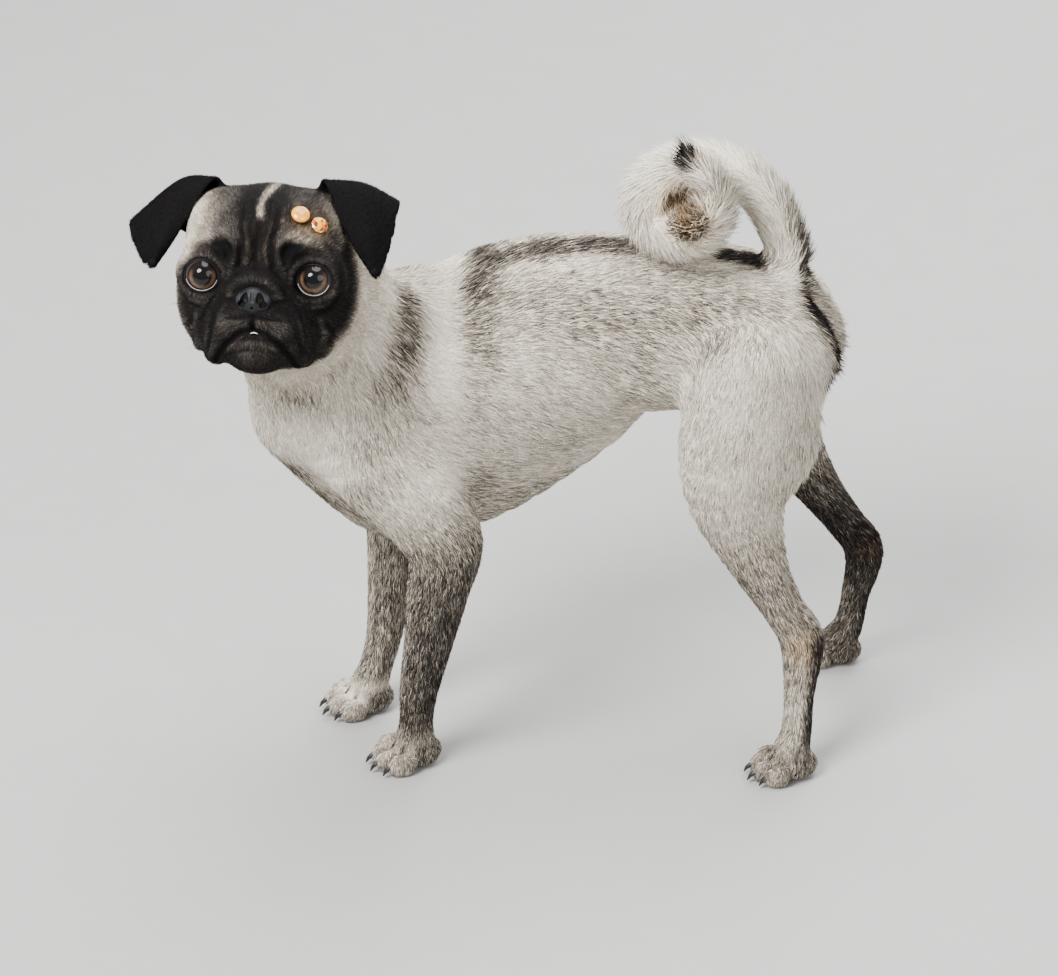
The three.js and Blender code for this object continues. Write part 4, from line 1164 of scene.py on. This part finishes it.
# The coat: tufts of short hair, thin closed wedges that leave the skin along its lie.
# A tuft's corners are the two sides of its foot, the crest over it and its tip. The depth of the foot and
# the height of the crest are shares of its width, and the patch is the share of the sheet that it takes.
WEDGE = np.array([(0, 3, 2), (2, 3, 1), (1, 3, 0), (0, 2, 1)])
FOOT_DEPTH = 0.35
CREST_HEIGHT = 0.30
WAVE = 0.15
STRAY = 0.19
LIFT_SPREAD = (0.45, 1.5)
SIZE_SPREAD = (0.7, 1.25)
TINT_RANGE = (0.002, 0.95)
TIP_HEIGHT = 0.3
PATCH = 0.003
SHEET = (0.0005, 0.9995)
TUFT_LIMIT = 48000
REGIONS = {
    # tufts for each square millimetre, length, width, lift from the skin
    "body": (0.95, 6.6, 0.70, 0.17),
    "ruff": (1.0, 11.0, 0.80, 0.24),
    "breech": (0.95, 12.5, 0.80, 0.24),
    "tail": (1.7, 14.0, 0.85, 0.36),
    "curl": (2.0, 10.5, 0.85, 1.15),
    "leg": (1.25, 5.0, 0.60, 0.15),
    "foot": (2.2, 3.0, 0.45, 0.14),
    "scalp": (1.7, 4.4, 0.50, 0.15),
    "face": (3.9, 2.3, 0.34, 0.18),
    "ear": (2.6, 2.6, 0.38, 0.10),
}


def bare(p):
    """Where no hair grows: between the lids, under the nose leather and on the soles."""
    f, left, up = to_head(p).T
    bald = ((lid_ring(left, up) < LID_RADIUS + 0.6) & (f > 15)) | (p[:, 2] < 1.0)
    front = np.flatnonzero(f > 36)
    bald[front] |= nose_form(p[front]) < 0.9
    return bald


def growth(p, part):
    """How the hair grows at places: its density, length, width and lift."""
    on_tail = is_part(part, "tail_root", "tail_curl")
    breech = spot(p, (20, 168, 238), (34, 16, 46)) + spot(p, (-66, 176, 214), (30, 22, 46))
    shares = {
        "ruff": np.minimum(1, spot(p, (52, -98, 290), (34, 30, 30))),
        "breech": np.minimum(1, breech),
        "leg": smooth(205, 160, p[:, 2]),
        "foot": smooth(42, 22, p[:, 2]),
        "tail": on_tail,
        "curl": on_tail * in_curl(p),
        "scalp": headness(p),
        "face": headness(p) * smooth(4, 22, to_head(p)[:, 0]),
        "ear": is_part(part, "ear_left", "ear_right"),
    }
    grown = np.broadcast_to(REGIONS["body"], (len(p), 4))
    for name, share in shares.items():
        grown = mix(grown, np.array(REGIONS[name]), share[:, None])
    density, *size = grown.T
    return density * ~bare(p), *size


def tufts(root, normal, lie, size):
    """The corners of tufts and the directions that their surface faces there, from their roots and size."""
    long, wide, lift = size
    count = len(root)
    wave = np.stack([noise(root, 11, seed) for seed in (5, 6, 7)], 1)
    flow = lie + WAVE * wave + rng.normal(0, STRAY, (count, 3))
    flow = unit(flow - normal * (flow * normal).sum(1, keepdims=True))
    lift = lift * rng.uniform(*LIFT_SPREAD, count)
    long = long * rng.uniform(*SIZE_SPREAD, count)
    wide = wide * rng.uniform(*SIZE_SPREAD, count)
    side = np.cross(normal, flow) * wide[:, None] / 2
    tip = root + long[:, None] * (flow * np.cos(lift)[:, None] + normal * np.sin(lift)[:, None])
    foot = root - FOOT_DEPTH * wide[:, None] * normal
    crest = root + CREST_HEIGHT * wide[:, None] * normal
    tip[:, 2] = np.maximum(tip[:, 2], TIP_HEIGHT)
    tilt = side / wide[:, None]
    facing = np.stack([normal - 0.7 * tilt, normal + 0.7 * tilt, normal, normal + 0.25 * flow], 1)
    return np.stack([foot - side, foot + side, crest, tip], 1), unit(facing)


def tuft_tints(root, normal):
    """The colours of tufts at their corners: a paler foot, a darker tip, and each tuft a little different."""
    dark, hue = coat_shade(root, normal)
    spread = 0.035 + np.clip(dark * (1 - dark), 0, 1) * (1 - 0.55 * headness(root))
    speck = rng.normal(0, spread, len(root))
    foot = shade(dark * (0.78 + 0.2 * dark) + 0.6 * speck)
    tip = shade(1.12 * dark + speck)
    light = rng.normal(1, 0.07, (len(root), 1)) * hue
    return np.clip(np.stack([foot * light] * 3 + [tip * light], 1), *TINT_RANGE)


def add_coat(name, faces):
    """A part's tufts, rooted evenly over its faces of the skin."""
    here = quads[faces]
    corners = points[here]
    area = length(np.cross(corners[:, 2] - corners[:, 0], corners[:, 3] - corners[:, 1])) / 2
    amount = np.cumsum(area * growth(corners.mean(1), part[faces])[0])
    count = min(int(amount[-1]), TUFT_LIMIT)
    face = np.searchsorted(amount, (np.arange(count) + rng.random(count)) / count * amount[-1])
    u, v = rng.random((2, count))
    weight = np.stack([(1 - u) * (1 - v), u * (1 - v), u * v, (1 - u) * v], 1)[..., None]
    blend = lambda values: (values[face] * weight).sum(1)
    root, normal = blend(corners), unit(blend(normals[here]))
    size = growth(root, part[faces][face])[1:]
    places, facing = tufts(root, normal, unit(blend(lie[here])), size)
    wedges = 4 * np.arange(count)[:, None, None] + WEDGE
    square = PATCH * np.array([(-0.5, -0.5), (0.5, -0.5), (0, 0), (0, 0.5)])
    patch = np.clip(blend(unwrap(points, here, part[faces]))[:, None] + square, *SHEET)
    piece(
        f"coat_{name}", places.reshape(-1, 3), wedges.reshape(-1, 3), COAT,
        tuft_tints(root, normal).reshape(-1, 3), "coat",
        normals=facing.reshape(-1, 3), uv=patch[:, WEDGE].reshape(-1, 2),
    )


# Materials.
def material(name, roughness, **sockets):
    """A principled material, with the nodes, the links and the shader of its tree."""
    made = bpy.data.materials.new(name)
    made.use_nodes = True
    shader = made.node_tree.nodes["Principled BSDF"]
    shader.inputs["Roughness"].default_value = roughness
    for socket, value in sockets.items():
        shader.inputs[socket.replace("_", " ")].default_value = value
    return made, made.node_tree.nodes, made.node_tree.links, shader


def speckle(nodes, links, scale, low, high):
    """Fine noise over a piece, as a factor between low and high."""
    place = nodes.new("ShaderNodeTexCoord")
    grain = nodes.new("ShaderNodeTexNoise")
    grain.inputs["Scale"].default_value = scale
    grain.inputs["Detail"].default_value = 3
    span = nodes.new("ShaderNodeMapRange")
    for socket, value in {"From Min": 0.3, "From Max": 0.7, "To Min": low, "To Max": high}.items():
        span.inputs[socket].default_value = value
    links.new(place.outputs["Object"], grain.inputs["Vector"])
    links.new(grain.outputs["Fac"], span.inputs["Value"])
    return span.outputs["Result"]


def shaded(nodes, links, shader, colour, factor):
    """Multiplies a colour by a factor on its way to the shader."""
    times = nodes.new("ShaderNodeVectorMath")
    times.operation = "SCALE"
    links.new(colour, times.inputs[0])
    links.new(factor, times.inputs["Scale"])
    links.new(times.outputs["Vector"], shader.inputs["Base Color"])


def bumped(nodes, links, shader, height, strength, depth):
    bump = nodes.new("ShaderNodeBump")
    bump.inputs["Strength"].default_value = strength
    bump.inputs["Distance"].default_value = depth
    links.new(height, bump.inputs["Height"])
    links.new(bump.outputs["Normal"], shader.inputs["Normal"])


def tinted(name, roughness, grain, contrast, bump=0.0, depth=0.0, **sockets):
    """A material that takes its colour from the piece's tint, with a fine grain in colour and relief."""
    made, nodes, links, shader = material(name, roughness, **sockets)
    tint = nodes.new("ShaderNodeAttribute")
    tint.attribute_name = "tint"
    factor = speckle(nodes, links, grain, 1 - contrast, 1 + contrast)
    shaded(nodes, links, shader, tint.outputs["Color"], factor)
    if bump:
        bumped(nodes, links, shader, factor, bump, depth)
    return made


# Roughness, grain and its contrast, then the strength and depth of the relief where there is one.
COAT = tinted("coat", 0.75, 700, 0.15, Specular_IOR_Level=0.06)
SKIN = tinted("skin", 0.75, 650, 0.28, 0.55, 0.0006, Specular_IOR_Level=0.06)
EYE_FINISH = tinted("eye", 0.2, 2600, 0.10, Specular_IOR_Level=0.0, Coat_Weight=0.65, Coat_Roughness=0.02)
LEATHER = tinted("nose_leather", 0.5, 1500, 0.30, 0.5, 0.0003, Specular_IOR_Level=0.22)
WET = tinted("wet_rim", 0.5, 1200, 0.2, 0.2, 0.0002, Specular_IOR_Level=0.2)
HORN = tinted("horn", 0.34, 1100, 0.3, 0.25, 0.0002)
IVORY = tinted("tooth", 0.22, 1500, 0.06, Coat_Weight=0.5)
GEM = tinted("bead", 0.10, 420, 0.10, Coat_Weight=1.0, Coat_Roughness=0.03)


# The skin, one surface over all the flesh, a little darker than its hair.
SKIN_TONE = 0.8
FLESH = [
    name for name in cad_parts
    if name.startswith(("head", "neck", "chest", "loin", "rump", "tail", "foreleg", "hindleg", "ear"))
]
points, quads = shell(skin_distance, SKIN_LINES)
points, normals = settled(points, skin_distance)
dark, hue = coat_shade(points, normals)
part = part_of(points[quads].mean(1))
tint = shade(dark) * hue * SKIN_TONE
piece("skin", points, quads, SKIN, tint, "coat", FLESH, uv=unwrap(points, quads, part))
lie = lie_of(points, normals)
for number, name in enumerate(PARTS):
    add_coat(name, np.flatnonzero(part == number))


# Eyes, painted round the line of sight, with a clear bulge in front.
IRIS_OUTER = np.array([0.085, 0.052, 0.030])
IRIS_INNER = np.array([0.038, 0.022, 0.013])
# the top of the iris, in the upper lid's painted shade
IRIS_SHADED = np.array([0.008, 0.005, 0.004])
PUPIL = np.array([0.003, 0.0025, 0.0025])
LIMBUS = np.array([0.004, 0.0035, 0.0035])
# the eye's white round the iris, painted dark in the lids' shade
SCLERA_IN_SHADE = np.array([0.05, 0.037, 0.034])
# the wet lower rim: its own pale colour, brightened as a painted glint
WET_RIM_AND_GLINT = np.array([0.34, 0.29, 0.27])
CORNEA = 0.9


def eye_colours(radius, turn, fibre):
    """The colours of an eye at distances from its line of sight and turns round it, 90 degrees being up."""
    iris = mix(IRIS_INNER, IRIS_OUTER, smooth(PUPIL_RADIUS, IRIS_RADIUS - 1.2, radius))
    iris = iris * (0.75 + 0.5 * fibre)
    # painted shade from the upper lid over the top of the iris
    iris = mix(iris, IRIS_SHADED, smooth(-0.1, 0.75, np.sin(turn)))
    tint = mix(SCLERA_IN_SHADE, LIMBUS, smooth(IRIS_RADIUS + 1.3, IRIS_RADIUS + 0.2, radius))
    tint = mix(tint, iris, smooth(IRIS_RADIUS + 0.1, IRIS_RADIUS - 0.8, radius))
    return mix(tint, PUPIL, smooth(PUPIL_RADIUS + 0.6, PUPIL_RADIUS - 0.3, radius))


def eyeball(side, gaze):
    """Points, faces and colours of an eyeball that looks along its gaze."""
    rings, spokes = 56, 72
    axis = HEAD_AXES @ unit(gaze)
    across = unit(np.cross((0, 0, 1), axis))
    rise = np.cross(axis, across)
    angle = np.linspace(0, np.pi, rings)[:, None, None]
    turn = np.linspace(0, 2 * np.pi, spokes, endpoint=False)[None, :, None]
    bulge = CORNEA * smooth(0.66, 0.15, angle)
    sideways = np.cos(turn) * across + np.sin(turn) * rise
    ball = (EYE_RADIUS - 0.25 + bulge) * (np.cos(angle) * axis + np.sin(angle) * sideways)
    radius = np.sin(angle) * EYE_RADIUS + 20 * (angle > np.pi / 2)
    strands = np.broadcast_arrays(np.cos(turn) * 9, np.sin(turn) * 9, radius * 0.4)
    fibre = 0.5 + 0.5 * noise(np.concatenate(strands, -1).reshape(-1, 3), 1.3, side + 2)
    tint = eye_colours(radius, turn, fibre.reshape(rings, spokes, 1))
    places = ball + in_head((EYE[0], EYE[1] * side, EYE[2]))
    return places.reshape(-1, 3), between_rings(rings, spokes), tint.reshape(-1, 3)


def lid_line(side, radius, first, last, out):
    """A line on the eyeball along the lids' edge, counted as in round_eye."""
    line = np.array([(EYE_RADIUS, side * left, up) for left, up in round_eye(radius, first, last, 60)])
    offset = line[:, 1:] - np.array([EYE[1] * side, EYE[2]])
    line[:, 0] = EYE[0] + np.sqrt((EYE_RADIUS + out) ** 2 - (offset**2).sum(1))
    return in_head(line)


for name, side in (("left", 1), ("right", -1)):
    ball, faces, tint = eyeball(side, GAZE[name])
    piece(f"eyeball_{name}", ball, faces, EYE_FINISH, tint, "eye", [f"eye_{name}"])
    piece(f"lids_{name}", *tube(lid_line(side, LID_RADIUS, -8, 356, 0.1), 0.6), WET, LIMBUS, "coat")
    tear_line = lid_line(side, LID_RADIUS - 0.75, -165, -15, 0.35)
    # a thin wet rim under each eye, pale with a painted glint
    piece(f"tear_line_{name}", *tube(tear_line, 0.2), WET, WET_RIM_AND_GLINT, "eye")


# The nose leather.
NOSE_MIDDLE = (46, 0, -6)
NOSE_SPLIT = [(0, 0), (0, -5), (0, -9), (0, -14)]
NOSE_BLACK = np.array([0.0085, 0.0087, 0.0098])
# painted highlight on the wings and the bridge
NOSE_HIGHLIGHT = np.array([0.026, 0.027, 0.031])
# painted shade in the nostrils
NOSTRIL_SHADE = np.array([0.002, 0.002, 0.002])


def nostril(side):
    """A comma-shaped hollow in the nose, cut along its own path."""
    places = in_front(nose_form, [[(side * left, up) for (left, up), _ in NOSTRIL]])[0]
    stations = [[(f - 0.9, left, up), size] for (f, left, up), (_, size) in zip(places, NOSTRIL)]
    return ridge(stations, 0.7, cut=True)


def nose_tint(p):
    """Black, greyer on the wings and the bridge with painted highlights, and blackest in the nostrils with
    painted shade.
    """
    _, left, up = to_head(p).T
    plane = np.stack([np.abs(left), up], 1)
    # painted highlights on the wings and the bridge
    wing = spot(plane, (8.0, -3.5), (1.6, 3.0))
    bridge = spot(plane, (0, 0.5), (8, 2))
    # painted shade in the nostrils
    hollow = on_path(plane, [place for place, _ in NOSTRIL], 1.7)
    tint = mix(NOSE_BLACK, NOSE_HIGHLIGHT, np.clip(wing + 0.6 * bridge, 0, 1)[:, None])
    return mix(tint, NOSTRIL_SHADE, np.minimum(1, 1.6 * hollow)[:, None])


nose_split = bars(nose_form, [(NOSE_SPLIT, 0.6, 0.0)], 1.0, 0.8, cut=True)
nose = field([*NOSE_FORMS, *(nostril(side) for side in (1, -1)), *nose_split])
nose_points, nose_quads = shell(nose, [grid_lines((c - 15, 0.4), (c + 15, 0)) for c in in_head(NOSE_MIDDLE)])
nose_points = settled(nose_points, nose)[0]
piece("nose_leather", nose_points, nose_quads, LEATHER, nose_tint(nose_points), "nose", ["nose"])

# A tooth's edge in the middle of the mouth.
TOOTH = [(-1.0, -22.9), (0.0, -22.5), (1.0, -22.4), (2.0, -22.6), (2.9, -23.1)]
tooth_line = in_head(in_front(folded_head, [TOOTH])[0])
piece("tooth", *tube(tooth_line, [0.15, 0.26, 0.30, 0.26, 0.15]), IVORY, (0.78, 0.74, 0.66))

# Claws, one on each toe: how far in front of it, how high and how thick.
CLAW = [(5.5, 8.0, 1.7), (8.5, 7.4, 1.55), (11.2, 5.2, 1.15), (12.8, 2.4, 0.4)]


def claw(paw, side, ahead):
    line = [(side, -ahead - out, up) for out, up, _ in CLAW]
    return tube(on_paw(paw, line), [radius for *_, radius in CLAW], 10)


claws = joined([claw(paw, *toe) for paw in PAWS.values() for toe in TOES])
piece("claws", *claws, HORN, (0.011, 0.010, 0.009))

# Whiskers, from the upper lip, the cheeks and the brows: how far across and up they start, and their length.
WHISKERS = [
    (9, -19, 15), (12, -21, 20), (15, -24, 22), (17, -20, 20), (11, -25, 14), (18, -28, 18), (22, -24, 15),
    (38, -12, 13), (20, 27, 11),
]


def whisker(side, left, up, long):
    start = in_front(folded_head, [[(side * left, up)]])[0][0]
    way = unit(np.array([0.35, side * (0.55 + 0.03 * left), 0.02 * (up + 18)]) + rng.normal(0, 0.10, 3))
    t = np.linspace(0, 1, 7)[:, None]
    line = start - 0.6 * way + long * (t * way + t**2 * np.array([-0.15, 0.05 * side, -0.22]))
    return tube(in_head(line), np.linspace(0.15, 0.03, 7), 5)


whiskers = joined([whisker(side, *place) for side in (1, -1) for place in WHISKERS])
piece("whiskers", *whiskers, COAT, (0.006, 0.0055, 0.0055), "coat")

# The two beads on the forehead: how far across and up each is, and its radius.
BEADS = {"bead_round": (21, 37.5, 5.2), "bead_faceted": (31, 32.5, 4.7)}
BEAD_FLATNESS = 0.55
FACETS = 10
LEVELS = [(0, 1, 0), (0.48, 0.94, 0), (0.8, 0.62, 0.5), (1, 0.1, 0), (0.7, -0.6, 0.5), (0, -0.9, 0)]
AMBER = np.array([0.58, 0.15, 0.002])
HONEY = np.array([0.80, 0.36, 0.02])
# brown: painted shade on the round bead's rim, and the colour of its fleck and of the darkest facets
BROWN_AND_SHADE = np.array([0.10, 0.015, 0.001])


def bead_place(across, up, radius):
    """A bead's middle and its own axes, its last axis straight out of the forehead."""
    foot = in_head(in_front(plain_head, [[(across, up)]])[0])
    out = unit(gradient(plain_head, foot)[1][0])
    wide = unit(np.cross((0, 0, 1), out))
    return foot[0] + out * radius * BEAD_FLATNESS * 0.35, np.stack([wide, np.cross(out, wide), out])


def round_bead(radius):
    """A smooth low dome over a shallow back: amber, then honey, with a painted highlight of honey, a brown
    rim in painted shade and one darker fleck.
    """
    rings, spokes = 28, 56
    angle = np.linspace(0, np.pi, rings)[:, None]
    turn = np.linspace(0, 2 * np.pi, spokes, endpoint=False)[None]
    x, y = np.sin(angle) * np.cos(turn), np.sin(angle) * np.sin(turn)
    points = radius * np.stack([x, y, BEAD_FLATNESS * np.cos(angle) + 0 * turn], -1)
    out = np.hypot(x, y)[..., None]
    tint = mix(AMBER, HONEY, smooth(0.25, 0.75, out))
    # painted highlight
    tint = mix(tint, HONEY, np.exp(-((x + 0.1) ** 2 + (y + 0.35) ** 2) / 0.12)[..., None])
    # painted shade round the rim
    tint = mix(tint, BROWN_AND_SHADE, smooth(0.90, 1.0, out))
    tint = mix(tint, BROWN_AND_SHADE * [0.8, 1.6, 2.0], np.exp(-((x - 0.35) ** 2 + (y - 0.4) ** 2) / 0.022)[..., None])
    return points.reshape(-1, 3), between_rings(rings, spokes), tint.reshape(-1, 3)


def cut_ring(out, high, offset):
    """The corners of a cut bead at a level: how far out, how high and how far turned, in facets."""
    turn = 2 * np.pi * (np.arange(FACETS) + offset) / FACETS
    return np.stack([out * np.cos(turn), out * np.sin(turn), BEAD_FLATNESS * high + 0 * turn], 1)


def faceted_bead(radius):
    """A cut bead: a flat top, two crowns of facets and a shallow back, each facet in a shade of its own."""
    rings = [cut_ring(*level) for level in LEVELS]
    corners, shades = [], []
    for a, b in zip(rings, rings[1:]):
        for j in range(FACETS):
            n = (j + 1) % FACETS
            halves = [(a[j], b[j], a[n]), (a[n], b[j], b[n])]
            if a is rings[0]:
                halves = [(a[j], b[j], b[n]), (a[j], b[n], a[n])]
            corners += halves
            shades += [rng.choice(3, p=[0.42, 0.36, 0.22]) for _ in halves]
    points = radius * np.array(corners).reshape(-1, 3)
    tint = np.array([HONEY, AMBER, BROWN_AND_SHADE * 1.8])[np.repeat(shades, 3)]
    return points, np.arange(len(points)).reshape(-1, 3), tint


for name, make in (("bead_round", round_bead), ("bead_faceted", faceted_bead)):
    middle, axes = bead_place(*BEADS[name])
    bead, faces, tint = make(BEADS[name][2])
    piece(name + "_gem", middle + bead @ axes, faces, GEM, tint, "bead", [name], flat=make is faceted_bead)


# Floor, light and camera.
def look_at(thing, place, target):
    thing.location = place
    thing.rotation_euler = (Vector(target) - Vector(place)).to_track_quat("-Z", "Y").to_euler()


def add_floor():
    mesh = bpy.data.meshes.new("floor")
    corners = [(x * FLOOR_HALF, y * FLOOR_HALF, 0) for x, y in ((-1, -1), (1, -1), (1, 1), (-1, 1))]
    mesh.from_pydata(corners, [], [(0, 1, 2, 3)])
    made, nodes, links, shader = material("floor", 0.7)
    base = nodes.new("ShaderNodeRGB")
    base.outputs[0].default_value = (0.40, 0.395, 0.385, 1)
    shaded(nodes, links, shader, base.outputs[0], speckle(nodes, links, 30, 0.985, 1.015))
    mesh.materials.append(made)
    floor = placed("floor", mesh)


def add_light(name, place, size, power):
    light = bpy.data.lights.new(name, "AREA")
    light.shape, light.size, light.energy = "DISK", size, power
    look_at(placed(name, light), place, (0, 0, 0.2))


def add_world(colour, strength):
    world = bpy.data.worlds.new("world")
    world.use_nodes = True
    background = world.node_tree.nodes["Background"]
    background.inputs["Color"].default_value = colour
    background.inputs["Strength"].default_value = strength
    bpy.context.scene.world = world


def add_camera():
    angle = math.radians(CAMERA["elevation"])
    target = np.array(CAMERA["target"])
    place = target + CAMERA["distance"] * np.array([math.cos(angle), 0, math.sin(angle)])
    lens = bpy.data.cameras.new("camera")
    lens.sensor_fit, lens.sensor_width = "HORIZONTAL", 36
    lens.lens = FOCAL_LENGTH / PICTURE_WIDTH * lens.sensor_width
    camera = placed("camera", lens)
    look_at(camera, to_frame(place), to_frame(target))
    bpy.context.scene.camera = camera


FLOOR_HALF = 6
add_floor()
add_light("key", (1.5, -1.4, 2.3), 1.4, 200)
add_light("fill", (1.8, 1.6, 1.4), 2.0, 34)
add_light("top", (-0.6, 0.3, 2.6), 2.4, 105)
add_light("back", (-1.6, 0.8, 1.2), 1.6, 30)
add_world((0.93, 0.96, 1.0, 1), 0.5)
add_camera()
